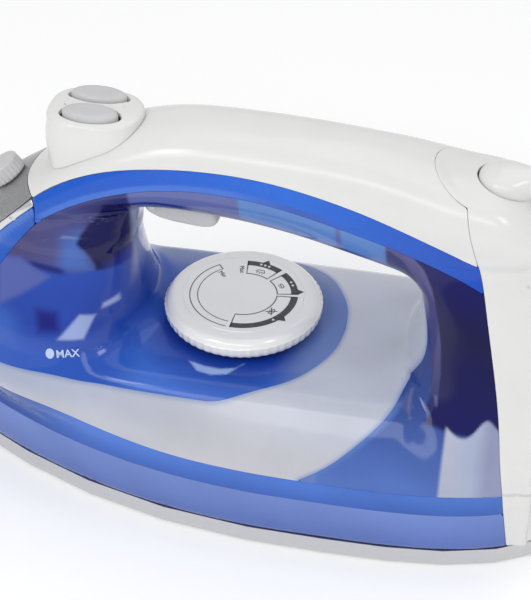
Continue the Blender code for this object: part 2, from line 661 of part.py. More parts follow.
turned("shaft_sleeve", [(3.4, 64.3), (SLEEVE_RADIUS, 64.3), (SLEEVE_RADIUS, 25.5), (3.4, 25.5)],
       0, 0, blue_clear, 16)
turned("thermostat_shaft", [(0, 70.3), (SHAFT_RADIUS, 70.3), (SHAFT_RADIUS, THERMOSTAT_TOP + GAP),
                            (0, THERMOSTAT_TOP + GAP)], 0, 0, steel, 12)
turned("dial_seat", [(SLEEVE_RADIUS + GAP, 64.9), (22.6, 64.9), (23.6, 64.3), (23.8, DECK_HEIGHT + GAP),
                     (SLEEVE_RADIUS + GAP, DECK_HEIGHT + GAP)], 0, 0, blue_gloss, 32)
turned("dial", [(0, DIAL_FACE), (26.6, DIAL_FACE), (28.2, 72.3), (DIAL_RADIUS, 70.8), (DIAL_RADIUS, 67.4),
                (28.3, 66.0), (27.0, DIAL_LOW), (26.0, DIAL_LOW), (26.0, 70.8), (4.8, 70.8), (4.8, 65.6),
                (2.8, 65.6), (2.8, 70.6), (0, 70.6)], 0, 0, white_gloss, 40)


# ---------------------------------------------------------------- buttons and pumps

for side, word in ((1, "steam"), (-1, "spray")):
    y = side * BUTTON_Y
    rings = [(134.0, 1.0), (147.6, 1.0), (149.0, 0.94), (149.6, 0.8)]
    button = loft(word + "_button", [[place(px, py, z) for px, py in button_oval(side, 0.0, scale)]
                                     for z, scale in rings], grey_plastic, iron)
    set_origin(button, BUTTON_X, y, 134.0)
    turned(word + "_piston", [(0, 133.7), (2.0, 133.7), (2.0, 97.0), (3.3, 96.6), (3.3, 92.6), (0, 92.6)],
           BUTTON_X, y, dark_plastic, 12)
    turned(word + "_pump", [(0, 84.0), (3.7, 84.0), (3.7, 103.0), (5.2, 103.0), (5.2, 81.0), (2.2, 78.0),
                            (2.2, 34.0), (0, 34.0)], BUTTON_X, y, grey_plastic, 14)
    spring = tube(word + "_spring", coil(3.4, 5, (BUTTON_X, y, 104.0), 5.7), 0.45, steel)
    set_origin(spring, BUTTON_X, y, 104.0)


# ---------------------------------------------------------------- trigger under the handle

def cross_pin(name, middle, reach, radius, group=iron):
    """A round bar across the iron, centred on (x, z)."""
    x, z = middle
    return cylinder(name, (x, -reach, z), (x, reach, z), radius, steel, 12, group)


trigger_outline = [(34.8, 114.4), (34.8, 110.0), (30.0, 107.2), (22.0, 105.4), (13.0, 105.0), (9.2, 105.8),
                   (7.6, 108.0), (8.2, 110.6), (8.8, 114.6), (31.0, 115.4)]
trigger = prism("steam_trigger", trigger_outline, "y", -6.4, 6.4, grey_plastic, iron)
boolean(trigger, cross_pin("hole", TRIGGER_PIVOT, 9.0, 1.5, cutters), "DIFFERENCE")
set_origin(trigger, TRIGGER_PIVOT[0], 0, TRIGGER_PIVOT[1])
cross_pin("trigger_pin", TRIGGER_PIVOT, 7.0, 1.2)
spring_points = [(24.0 + rise, -along_y, 117.7 + side)
                 for rise, side, along_y in coil(1.8, 4, (0.0, 0.0, -4.0), 2.0)]
spring = tube("trigger_spring", spring_points, 0.4, steel)
set_origin(spring, TRIGGER_PIVOT[0], 0, TRIGGER_PIVOT[1])


# ---------------------------------------------------------------- nose: steam knob, nozzle and filler hinge

turned("steam_knob", [(0, 6.6), (5.8, 6.6), (6.9, 5.8), (7.3, 1.0), (6.9, 0.5), (2.2, 0.5), (2.2, -7.0),
                      (0, -7.0)], KNOB_PLACE[0], 0, grey_plastic, 24, tilt=KNOB_TILT, z=KNOB_PLACE[1])
valve_rod = cylinder("valve_rod", knob_foot - 7.4 * knob_axis, knob_foot - 34 * knob_axis, 1.2, steel, 10)
set_origin(valve_rod, *(knob_foot - 7.4 * knob_axis))
nozzle_profile = [(0.8, 4.0), (2.4, 4.0), (3.2, 3.0), (3.2, 0.4), (0.8, 0.4)]
turned("spray_nozzle", nozzle_profile, 101.0, 0, grey_plastic, 16, tilt=math.pi / 2, z=94.0)
cross_pin("filler_hinge_pin", FILLER_HINGE, 5.6, 0.9)
KNUCKLE_RADIUS = 1.9


def knuckle(low, high, first, last, rest):
    """A hinge knuckle between two distances across the iron: an arc round the pin, then the rest."""
    x, z = FILLER_HINGE
    turns = [math.radians(step) for step in range(first, last + 1, 20)]
    arc = [(x + KNUCKLE_RADIUS * math.cos(turn), z + KNUCKLE_RADIUS * math.sin(turn)) for turn in turns]
    return prism("knuckle", arc + rest, "y", low, high)


web = [(101.8, 81.9), (101.8, 78.1)]
for low, high in ((-6.4, -3.4), (3.4, 6.4)):
    boolean(front_band, knuckle(low, high, -90, 90, web), "UNION")
tongue = [(106.2, 77.6), (105.2, 77.2), (105.6, 74.5), (107.0, 71.8), (107.9, 71.8), (108.9, 75.5)]
boolean(filler_door, knuckle(-3.1, 3.1, -10, 220, tongue), "UNION")
for part in (front_band, filler_door):
    boolean(part, cross_pin("hole", FILLER_HINGE, 5.8, 1.0, cutters), "DIFFERENCE")
    clean(part)
set_origin(filler_door, FILLER_HINGE[0], 0, FILLER_HINGE[1])


# ---------------------------------------------------------------- rear: cord swivel and terminals

SPOUT_HEIGHT = 138.0
CORD_BORE = 3.3
swivel = turned("cord_swivel", [(0, 142.8), (3.4, 142.4), (5.4, 141.2), (6.0, 139.0), (8.4, 137.9),
                                (SWIVEL_RADIUS, 136.6), (SWIVEL_RADIUS, 132.4), (5.0, 131.8), (5.0, 118.0),
                                (0, 118.0)], GLAND_X, 0, white_gloss, 24)
spout = cylinder("spout", (GLAND_X - 2, 0, SPOUT_HEIGHT), (GLAND_X - 27, 0, SPOUT_HEIGHT), 4.6, group=cutters)
boolean(swivel, spout, "UNION")
cord_way = ((GLAND_X - 32, SPOUT_HEIGHT), (GLAND_X, SPOUT_HEIGHT), (GLAND_X, 110.0))
for start, end in zip(cord_way, cord_way[1:]):
    bore = cylinder("bore", (start[0], 0, start[1]), (end[0], 0, end[1]), CORD_BORE, group=cutters)
    boolean(swivel, bore, "DIFFERENCE")
clean(swivel)
turned("cord_socket", [(5.4, 130.6), (8.6, 130.6), (8.6, 121.0), (5.4, 121.0)], GLAND_X, 0, dark_plastic, 20)
block("terminal_block", (-101.0, 0, 84.0), (12.0, 24.0, 10.0), dark_plastic, 0.8)
screw_profile = [(0, 91.0), (2.0, 91.0), (2.4, 90.5), (2.4, 89.3), (0, 89.3)]
for i, y in enumerate((-8.0, 0.0, 8.0)):
    turned(f"terminal_screw_{i + 1}", screw_profile, -101.0, y, brass, 10)

for obj in iron.objects:
    obj.data.shade_smooth()
    obj.data.set_sharp_from_angle(angle=SHARP)
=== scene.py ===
"""Clothes iron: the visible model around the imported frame.

One smooth form is made from tables, meshed, and cut along parting lines into moulded shells, whose colours are
painted by place. Everything is in millimetres, x from the dial's axis and z from a datum just under the sole,
until world() turns it into the frame's metres. The nose is +x and the camera looks from +y.
"""
import json
import math

import bpy
import numpy as np
from mathutils import Matrix, Vector

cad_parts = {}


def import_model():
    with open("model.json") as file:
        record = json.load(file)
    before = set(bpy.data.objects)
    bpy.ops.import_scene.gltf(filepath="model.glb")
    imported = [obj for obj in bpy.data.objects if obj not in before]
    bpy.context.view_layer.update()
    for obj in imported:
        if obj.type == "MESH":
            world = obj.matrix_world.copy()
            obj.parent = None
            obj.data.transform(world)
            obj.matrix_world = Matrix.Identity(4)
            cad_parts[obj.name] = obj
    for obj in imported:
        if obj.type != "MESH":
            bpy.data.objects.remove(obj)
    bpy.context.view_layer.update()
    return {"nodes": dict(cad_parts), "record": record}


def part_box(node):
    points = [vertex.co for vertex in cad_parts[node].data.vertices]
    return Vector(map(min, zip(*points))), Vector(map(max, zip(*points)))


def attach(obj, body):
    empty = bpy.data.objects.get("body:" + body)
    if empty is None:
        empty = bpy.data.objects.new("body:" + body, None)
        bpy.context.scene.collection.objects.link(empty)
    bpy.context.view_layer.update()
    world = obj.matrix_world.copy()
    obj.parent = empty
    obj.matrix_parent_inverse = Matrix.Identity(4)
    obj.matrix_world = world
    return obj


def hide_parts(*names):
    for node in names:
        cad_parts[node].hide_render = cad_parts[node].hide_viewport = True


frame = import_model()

MM = 0.001
DIAL_FACE = 73          # height of the dial's top
dial_low, dial_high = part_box("dial")
DIAL_X = (dial_low[0] + dial_high[0]) / 2 / MM
DATUM = DIAL_FACE - dial_high[2] / MM


# -------- camera

def aim(azimuth, elevation):
    """Unit vectors right, up and back of a camera that looks from the given direction."""
    a, e = math.radians(azimuth), math.radians(elevation)
    back = Vector((math.sin(a) * math.cos(e), -math.cos(a) * math.cos(e), math.sin(e)))
    right = Vector((0, 0, 1)).cross(back).normalized()
    return right, back.cross(right), back


def placed(along, upright, outward, place):
    """The matrix of an object with these axes at a place."""
    return Matrix([*zip(along, upright, outward, place), (0, 0, 0, 1)])


VIEW = (192, 38.3)                                # azimuth and elevation
DISTANCE = 0.75                                   # metres from the dial's top
PICTURE = (531, 600)
FOCAL = 2055                                      # in pixels of that picture
DIAL_IN_PICTURE = (243.8, 293.7)
right, up, back = aim(*VIEW)
dial_top = Vector((DIAL_X * MM, 0, (DIAL_FACE - DATUM) * MM))
aside, above = ((at - size / 2) * DISTANCE / FOCAL for at, size in zip(DIAL_IN_PICTURE, PICTURE))
camera_data = bpy.data.cameras.new("camera")
camera_data.sensor_fit = "HORIZONTAL"
camera_data.sensor_width = 36
camera_data.lens = camera_data.sensor_width * FOCAL / PICTURE[0]
camera_data.clip_start = 0.01
camera = bpy.data.objects.new("camera", camera_data)
bpy.context.scene.collection.objects.link(camera)
bpy.context.scene.camera = camera
camera.matrix_world = placed(right, up, back, (0, 0, 0))
camera.location = dial_top + back * DISTANCE - right * aside + up * above
bpy.context.scene.view_settings.view_transform = "Standard"


# -------- the outer form

# Levels: height, half width, front, rear, widest at, power ahead, roundness ahead, power behind.
TANK = np.array([
    (12, 57.5, 129, -139, -30, 2.2, 0.95, 3.4),
    (20, 58, 129.5, -139.5, -30, 2.2, 0.95, 3.4),
    (30, 58, 128.5, -140, -30, 2.2, 0.95, 3.4),
    (36, 57, 126.5, -139.8, -30, 2.25, 0.95, 3.4),
    (42, 54, 123, -139, -30, 2.7, 0.93, 3.4),
    (51, 48, 117, -137.5, -30, 3.8, 0.90, 3.2),
    (57, 43, 113.5, -136, -30, 5, 0.87, 3),
    (61, 37.5, 111, -134, -30, 5.6, 0.82, 2.8),
    (63, 31, 107, -130, -30, 5.6, 0.80, 2.6),
    (66, 17, 99, -120, -30, 5.6, 0.80, 2.6),
])
DECK_HEIGHT = 63        # the tank is cut flat here; its last levels only shape its shoulder
HOOD = np.array([
    (38, 36, 104, 18, 66, 2.5, 0.80, 2.6),
    (52, 40.5, 115, 24, 66, 2.5, 0.80, 2.6),
    (58, 39.5, 113, 29, 66, 2.5, 0.80, 2.6),
    (65, 37.5, 110.5, 33.5, 66, 2.4, 0.80, 2.6),
    (75, 33.5, 107, 36.5, 66, 2.3, 0.80, 2.8),
    (85, 28.5, 103.5, 37.8, 66, 2.2, 0.78, 3),
    (92, 24.3, 101, 38, 66, 2.2, 0.74, 3),
    (97, 22, 98, 38, 65, 2.2, 0.70, 3),
    (104, 19, 93, 37.5, 62, 2.2, 0.65, 3),
    (109, 15, 86, 37, 60, 2.2, 0.60, 3),
])
COLUMN = np.array([
    (38, 44, -38, -131, -98, 2.6, 0.50, 2.8),
    (50, 48, -46, -137.5, -98, 2.6, 0.50, 2.8),
    (58, 43.5, -55, -135.5, -98, 2.7, 0.50, 2.8),
    (66, 39, -61, -133, -96, 2.8, 0.50, 2.7),
    (76, 34.5, -64.5, -129.5, -95, 3.5, 0.50, 2.6),
    (88, 30, -65.5, -125.5, -93, 3.5, 0.50, 2.5),
    (97, 26.5, -63.5, -121.5, -90, 3.3, 0.50, 2.4),
    (104, 23.2, -58, -117.5, -87, 2.8, 0.50, 2.4),
    (113, 18.2, -52, -109.5, -82, 2.8, 0.50, 2.4),
])
# Sections: x, lowest, highest, half width.
HANDLE = np.array([
    (-113, 112, 119, 11), (-107, 108.5, 126.5, 17), (-101, 106, 131.6, 19.8),
    (-95, 104, 136, 21), (-80, 99.5, 140, 21.5), (-62, 97.5, 143.6, 20.5),
    (-45, 100.5, 146, 19), (-25, 105.8, 147.6, 18.3), (0, 110.2, 148.2, 18),
    (18, 111.5, 147.6, 18), (34, 111.2, 144.2, 18.5), (45, 109, 139.8, 19),
    (55, 106.5, 134.4, 19.5), (64, 103, 128.2, 20), (72, 100, 122.2, 20),
    (80, 96, 116.8, 19.3), (88, 92, 111.4, 17.5), (96, 88.5, 104.6, 13.5),
    (101, 87, 98.5, 8),
])

MODULE = np.array([
    (104, 13.6, 68, 35, 52, 3.6, 0.40, 3), (130, 13.6, 69.5, 35, 52, 3.6, 0.40, 3),
    (141, 13.4, 69.5, 34.5, 52, 3.6, 0.40, 3), (145, 12.9, 69, 35, 52, 3.6, 0.40, 3),
    (147.2, 11.6, 67.6, 36.4, 52, 3.4, 0.40, 2.8), (148, 9.8, 65.5, 38.5, 52, 3.2, 0.42, 2.6),
])


def spline(xs, ys):
    """A natural cubic through the points, constant beyond its ends; ys may have several columns."""
    xs, ys = np.asarray(xs, float), np.asarray(ys, float)
    count = len(xs)
    step = np.diff(xs)
    matrix, known = np.eye(count), np.zeros(ys.shape)
    slope = np.diff(ys, axis=0) / (step if ys.ndim == 1 else step[:, None])
    for i in range(1, count - 1):
        matrix[i, i - 1:i + 2] = step[i - 1], 2 * (step[i - 1] + step[i]), step[i]
        known[i] = 6 * (slope[i] - slope[i - 1])
    bend = np.linalg.solve(matrix, known)

    def read(x):
        x = np.clip(np.asarray(x, float), xs[0], xs[-1])
        i = np.clip(np.searchsorted(xs, x) - 1, 0, count - 2)
        h, a, b = step[i], xs[i + 1] - x, x - xs[i]
        if ys.ndim > 1:
            h, a, b = h[..., None], a[..., None], b[..., None]
        return (bend[i] * a ** 3 / (6 * h) + bend[i + 1] * b ** 3 / (6 * h)
                + (ys[i] / h - bend[i] * h / 6) * a + (ys[i + 1] / h - bend[i + 1] * h / 6) * b)
    return read


def smooth_min(a, b, reach):
    """The smaller, rounded over where the two are within reach of each other."""
    near = np.maximum(reach - np.abs(a - b), 0) / reach
    return np.minimum(a, b) - near * near * reach / 4


def smooth_max(a, b, reach):
    return -smooth_min(-a, -b, reach)


def smooth_step(t):
    t = np.clip(t, 0, 1)
    return t * t * (3 - 2 * t)


def to_distance(gauge, edge=0.05):
    """About the distance from a gauge's zero: its value over the length of its slope."""
    def read(x, y, z):
        here = gauge(x, y, z)
        slope = ((gauge(x + edge, y, z) - here) ** 2 + (gauge(x, y + edge, z) - here) ** 2
                 + (gauge(x, y, z + edge) - here) ** 2) ** 0.5 / edge
        return here / (slope + 1e-6)
    return read


def plan_body(table, rounding, top=None):
    """A body given by its levels, as part.py lofts them, closed flat at both ends."""
    top = top or table[-1, 0]
    levels = spline(table[:, 0], table[:, 1:])

    def gauge(x, y, z):
        width, front, rear, widest, power, roundness, heel = np.moveaxis(levels(z), -1, 0)
        ahead = np.maximum(x - widest, 0) / (front - widest)
        behind = np.maximum(widest - x, 0) / (widest - rear)
        across = 2 + (1 / roundness - 2) * smooth_step(ahead / 0.15)
        return ahead ** power + behind ** heel + (np.abs(y) / width) ** across - 1

    side = to_distance(gauge)

    def distance(x, y, z):
        return smooth_max(side(x, y, z), np.maximum(table[0, 0] - z, z - top), rounding)
    return distance


def handle_body():
    """The handle's bar, given by its sections, with a narrower lower half."""
    sections = spline(HANDLE[:, 0], HANDLE[:, 1:])

    def gauge(x, y, z):
        low, high, half = np.moveaxis(sections(x), -1, 0)
        middle = low + (high - low) * 0.55
        rise = np.abs(z - middle) / np.where(z > middle, high - middle, middle - low)
        half = half * np.where(z > middle, 1, 1 - 0.2 * np.minimum(rise, 1) ** 1.875)
        return (np.abs(y) / half) ** 2.5 + rise ** 2.5 - 1

    side = to_distance(gauge)

    def distance(x, y, z):
        return smooth_max(side(x, y, z), np.maximum(HANDLE[0, 0] - x, x - HANDLE[-1, 0] - 0.5), 5)
    return distance


tank, hood, column = plan_body(TANK, 2.5, DECK_HEIGHT), plan_body(HOOD, 1), plan_body(COLUMN, 1)
handle, module = handle_body(), plan_body(MODULE, 3)

HOOD_BLEND, COLUMN_BLEND, HANDLE_BLEND = 7, 9, 6
DISH = (-84, 17, 0.8)     # x of the middle, radius and depth of the hollow round the cord swivel
SWIVEL_X = -91


def form(x, y, z):
    """The iron above its sole, with its bodies running into each other."""
    # The tank's shoulder draws back inside the column and the hood, so that it leaves no ledge on them.
    sunk = COLUMN_BLEND * smooth_step((-64 - x) / 18) * smooth_step((z - 44) / 14)
    sunk = sunk + HOOD_BLEND * smooth_step((x - 50) / 16) * smooth_step((z - 54) / 8)
    whole = smooth_min(tank(x, y, z) + sunk, hood(x, y, z), HOOD_BLEND)
    whole = smooth_min(whole, column(x, y, z), COLUMN_BLEND)
    whole = smooth_min(whole, handle(x, y, z), HANDLE_BLEND)
    hollow = smooth_step((DISH[1] - np.hypot(x - DISH[0], y)) / 5) * smooth_step((z - 118) / 6)
    return whole + DISH[2] * hollow


def slope_of(field, points, edge=0.12):
    """A field's gradient at each point."""
    out = np.empty_like(points)
    for axis in range(3):
        shift = np.zeros(3)
        shift[axis] = edge
        out[:, axis] = (field(*(points + shift).T) - field(*(points - shift).T)) / (2 * edge)
    return out


def onto(field, points, rounds=3):
    """Points moved along a field's gradient to its zero surface."""
    for _ in range(rounds):
        slope = slope_of(field, points)
        points = points - (field(*points.T) / ((slope ** 2).sum(1) + 1e-9))[:, None] * slope
    return points


def net(field, low, high, cell):
    """A quad mesh of a field's zero surface: one vertex in each cell that it crosses."""
    axes = [np.arange(a, b + cell, cell) for a, b in zip(low, high)]
    half = axes[1][axes[1] > -cell * 0.1]
    axes[1] = np.concatenate([-half[:0:-1], half])
    grid = field(axes[0][:, None, None], half[None, :, None], axes[2][None, None, :])
    grid = np.concatenate([grid[:, :0:-1], grid], axis=1)
    inside = grid < 0
    corners = [(i, j, k) for i in (0, 1) for j in (0, 1) for k in (0, 1)]
    shape = tuple(n - 1 for n in grid.shape)
    filled = sum(inside[i:shape[0] + i, j:shape[1] + j, k:shape[2] + k].astype(np.int8) for i, j, k in corners)
    cells = np.argwhere((filled > 0) & (filled < 8))
    index = np.full(shape, -1, np.int64)
    index[tuple(cells.T)] = np.arange(len(cells))
    values = np.stack([grid[tuple((cells + c).T)] for c in corners], 1)
    total, count = np.zeros((len(cells), 3)), np.zeros(len(cells))
    for a in range(8):
        for b in range(a + 1, 8):
            if sum(abs(p - q) for p, q in zip(corners[a], corners[b])) == 1:
                cross = (values[:, a] < 0) != (values[:, b] < 0)
                t = np.where(cross, values[:, a] / (values[:, a] - values[:, b] + 1e-12), 0)[:, None]
                point = np.array(corners[a]) * (1 - t) + np.array(corners[b]) * t
                total += point * cross[:, None]
                count += cross
    places = (cells + total / count[:, None])
    points = np.stack([np.interp(places[:, a], np.arange(len(axes[a])), axes[a]) for a in range(3)], 1)
    quads = []
    for axis in range(3):
        first = np.take(inside, range(grid.shape[axis] - 1), axis)
        second = np.take(inside, range(1, grid.shape[axis]), axis)
        edges = np.argwhere(first != second)
        others = [(axis + 1) % 3, (axis + 2) % 3]
        ring = []
        for da, db in ((-1, -1), (0, -1), (0, 0), (-1, 0)):
            at = edges.copy()
            at[:, others[0]] += da
            at[:, others[1]] += db
            ring.append(index[tuple(at.T)])
        ring = np.stack(ring, 1)
        turned_in = ~first[tuple(edges.T)]
        ring[turned_in] = ring[turned_in][:, ::-1]
        quads.append(ring)
    return points, np.concatenate(quads)


def relax(points, quads, rounds):
    """Points moved towards the mean of their neighbours."""
    ends = np.concatenate([quads[:, [i, (i + 1) % 4]] for i in range(4)])
    count = np.bincount(ends[:, 0], minlength=len(points)) + np.bincount(ends[:, 1], minlength=len(points))
    for _ in range(rounds):
        mean = np.stack([np.bincount(ends[:, 0], points[ends[:, 1], a], len(points))
                         + np.bincount(ends[:, 1], points[ends[:, 0], a], len(points)) for a in range(3)], 1)
        points = points + 0.5 * (mean / count[:, None] - points)
    return points


def unit_slopes(field, points):
    slopes = slope_of(field, points, 0.2)
    return slopes / np.linalg.norm(slopes, axis=1)[:, None]


CELL = 1.4
skin, skin_quads = net(form, (-146, -61, 8), (136, 61, 152), CELL)
skin = onto(form, relax(skin, skin_quads, 3))
skin_normals = unit_slopes(form, skin)


# -------- parting lines

band_top = spline(*zip((-115, 100.5), (-100, 107.5), (-84, 115), (-61, 124), (-37, 131), (-14, 135.7), (10, 137),
                       (30, 135.5), (46, 132), (58, 127), (72, 117.5), (84, 106)))
band_low = spline(*zip((-115, 92.5), (-100, 99.3), (-84, 106.5), (-61, 114.5), (-37, 121), (-14, 126.5),
                       (10, 128.5), (30, 126.5), (46, 122), (58, 116.5), (72, 106), (80, 96), (88, 84.5), (96, 74),
                       (110, 58)))
lip_line = spline(*zip((60, 129.5), (72, 117.5), (80, 109.8), (88, 101.5), (96, 92.5), (110, 76)))
seam = spline(*zip((0, -107.5), (22, -105), (43, -102.2), (64, -98.6), (86.5, -93.4), (108, -87.9),
                   (129, -81.9), (160, -77)))
column_edge = spline(*zip((38, -32), (43, -41), (48, -47.6), (53, -53.6), (57.5, -58.4), (62, -62.6),
                          (71, -68.4), (80, -70.6), (88, -69.4), (95, -66.8), (103, -62.5), (112, -57)))
tub_line = spline(*zip((-150, 38), (0, 38), (19.5, 38.6), (35, 39.7), (51, 41), (67.4, 42.4), (81.6, 43.9),
                       (115, 46.5)))
deck_back = spline(*zip((0, -38), (12, -36.5), (24, -31), (35, -19), (42, -5), (52, 4)))
SOLE_TOP, BASE_TOP, DECK_SKIRT, WINDOW_TOP = 11.95, 30, 57, 98     # heights
DISH_FOOT, MODULE_FOOT = 125, 119
LIP_LOW, LIP_HIGH = -2.2, 0.3                                            # from lip_line
BUTTON_X, BUTTON_Y, BUTTON_SIZE, BUTTON_GAP = 52.5, 5.9, (10, 4.6), 0.3
KNOB_FOOT, KNOB_TILT, KNOB_HOLE = (86, 112.8), math.radians(34), 2.6
FILLER_HEIGHT, FILLER_HOLE = 70.5, 8
SHAFT_HOLE, SWIVEL_HOLE = 6.3, 9.4
SLOT_X, SLOT_SIZE = 20, (16, 8.2)                                    # the trigger's slot, half length and width


def over(curve, run=0.5):
    """Distance above a parting line z = curve(x)."""
    def read(p):
        slope = (curve(p[:, 0] + run) - curve(p[:, 0] - run)) / (2 * run)
        return (p[:, 2] - curve(p[:, 0])) / np.sqrt(1 + slope * slope)
    return read


def ahead_of(curve, run=0.5):
    """Distance in front of a parting line x = curve(z)."""
    def read(p):
        slope = (curve(p[:, 2] + run) - curve(p[:, 2] - run)) / (2 * run)
        return (p[:, 0] - curve(p[:, 2])) / np.sqrt(1 + slope * slope)
    return read


over_top, over_low, over_lip = over(band_top), over(band_low), over(lip_line)
over_tub = over(tub_line)
past_seam, past_column = ahead_of(seam), ahead_of(column_edge)


def past_rear(p):
    """Distance in front of the rear cover, which runs forward round the cord's hollow."""
    return np.minimum(past_seam(p), np.maximum(np.hypot(p[:, 0] - DISH[0], p[:, 1]) - DISH[1], DISH_FOOT - p[:, 2]))


def ahead_of_cover(p):
    """Distance in front of the cover's front edge, which curves back towards the sides."""
    return (p[:, 0] - (77.6 - 0.0175 * p[:, 1] ** 2)) * 0.9


def on_deck(p):
    """Inside the deck's outline: round behind the dial and open towards the nose."""
    y = np.abs(p[:, 1])
    slope = deck_back(y + 0.5) - deck_back(y - 0.5)
    return smooth_min((p[:, 0] - deck_back(y)) / np.sqrt(1 + slope * slope), p[:, 2] - DECK_SKIRT, 5)


def in_window(p):
    """The pale part of the tank: outside the deck and in front of the rear column."""
    return np.minimum(-on_deck(p), smooth_min(past_column(p), WINDOW_TOP - p[:, 2], 6))


def both(*parts):
    """Inside all of the parts."""
    return np.min(np.stack(parts), axis=0)


def either(*parts):
    """Inside any of the parts."""
    return np.max(np.stack(parts), axis=0)


def knob_stem(p):
    """Distance from the steam knob's axis."""
    x, z = p[:, 0] - KNOB_FOOT[0], p[:, 2] - KNOB_FOOT[1]
    across = x * math.cos(KNOB_TILT) - z * math.sin(KNOB_TILT)
    return np.hypot(across, p[:, 1])


def trigger_slot(p):
    """Distance outside the trigger's slot, which stops above the hood's back wall."""
    low = 95 + 12 * smooth_step((p[:, 0] - 30) / 3)
    return either(np.abs(p[:, 0] - SLOT_X) - SLOT_SIZE[0], np.abs(p[:, 1]) - SLOT_SIZE[1], low - p[:, 2])


def button_gap(p):
    """Distance outside the two buttons' oval holes."""
    x, y = (p[:, 0] - BUTTON_X) / BUTTON_SIZE[0], (np.abs(p[:, 1]) - BUTTON_Y) / BUTTON_SIZE[1]
    return either((np.hypot(x, y) - 1) * BUTTON_SIZE[1] - BUTTON_GAP, 140 - p[:, 2])


def band(p):
    return both(-over_top(p), over_low(p), past_seam(p), -ahead_of_cover(p))


# Each shell's region of the skin, as a distance inside its parting lines.
REGIONS = {
    "handle_cover": lambda p: both(over_top(p), past_rear(p), -ahead_of_cover(p), module(*p.T) + 2),
    "handle_band_left": lambda p: both(band(p), p[:, 1]),
    "handle_band_right": lambda p: both(band(p), -p[:, 1]),
    "silver_fascia": lambda p: both(over_lip(p) - LIP_HIGH, ahead_of_cover(p), knob_stem(p) - KNOB_HOLE),
    "fascia_lip": lambda p: both(over_lip(p) - LIP_LOW, LIP_HIGH - over_lip(p), ahead_of_cover(p)),
    "front_band": lambda p: both(LIP_LOW - over_lip(p), over_low(p), ahead_of_cover(p),
                                 np.hypot(p[:, 1], p[:, 2] - FILLER_HEIGHT) - FILLER_HOLE),
    "rear_cover": lambda p: both(-past_rear(p), either(np.hypot(p[:, 0] - SWIVEL_X, p[:, 1]) - SWIVEL_HOLE,
                                                       DISH_FOOT - p[:, 2])),
    "tank_shell": lambda p: both(-over_low(p), past_seam(p), over_tub(p), -in_window(p),
                                 either(np.hypot(p[:, 0], p[:, 1]) - SHAFT_HOLE, p[:, 2] - 80), trigger_slot(p)),
    "tank_window": lambda p: both(in_window(p), over_tub(p)),
    "tank_tub": lambda p: both(p[:, 2] - BASE_TOP, -over_tub(p), past_seam(p)),
    "base_skirt": lambda p: both(BASE_TOP - p[:, 2], past_seam(p), p[:, 2] - SOLE_TOP),
}


# -------- pieces from the skin

def world(points):
    """Millimetres from the dial's axis and the datum, as metres in the frame."""
    points = np.asarray(points, float)
    return (points + np.array([DIAL_X, 0, -DATUM])) * MM


def link(name, mesh):
    obj = bpy.data.objects.new(name, mesh)
    bpy.context.scene.collection.objects.link(obj)
    return obj


def mesh_object(name, points, faces, normals=None, sharp=None):
    """A mesh from arrays; faces may mix triangles and quads, with -1 closing a triangle."""
    faces = np.asarray(faces)
    sizes = (faces >= 0).sum(1)
    loops = faces[faces >= 0]
    mesh = bpy.data.meshes.new(name)
    mesh.vertices.add(len(points))
    mesh.vertices.foreach_set("co", world(points).astype(np.float32).ravel())
    mesh.loops.add(len(loops))
    mesh.loops.foreach_set("vertex_index", loops.astype(np.int32))
    mesh.polygons.add(len(faces))
    mesh.polygons.foreach_set("loop_start", np.concatenate([[0], np.cumsum(sizes)[:-1]]).astype(np.int32))
    mesh.update(calc_edges=True)
    mesh.validate()
    mesh.shade_smooth()
    if normals is not None:
        mesh.normals_split_custom_set_from_vertices(normals.astype(np.float32))
    if sharp:
        mesh.set_sharp_from_angle(angle=math.radians(sharp))
    return link(name, mesh)


def refine(points, quads):
    """Each quad cut into four, with the new vertices put back onto the form."""
    edges = np.sort(np.concatenate([quads[:, [i, (i + 1) % 4]] for i in range(4)]), axis=1)
    unique, inverse = np.unique(edges, axis=0, return_inverse=True)
    inverse = inverse.ravel().reshape(4, len(quads)).T + len(points)
    middle = len(points) + len(unique) + np.arange(len(quads))
    finer = np.concatenate([points, points[unique].mean(1), points[quads].mean(1)])
    parts = [np.stack([quads[:, i], inverse[:, i], middle, inverse[:, i - 1]], 1) for i in range(4)]
    finer[len(points):] = onto(form, finer[len(points):], 1)
    return finer, np.concatenate(parts)


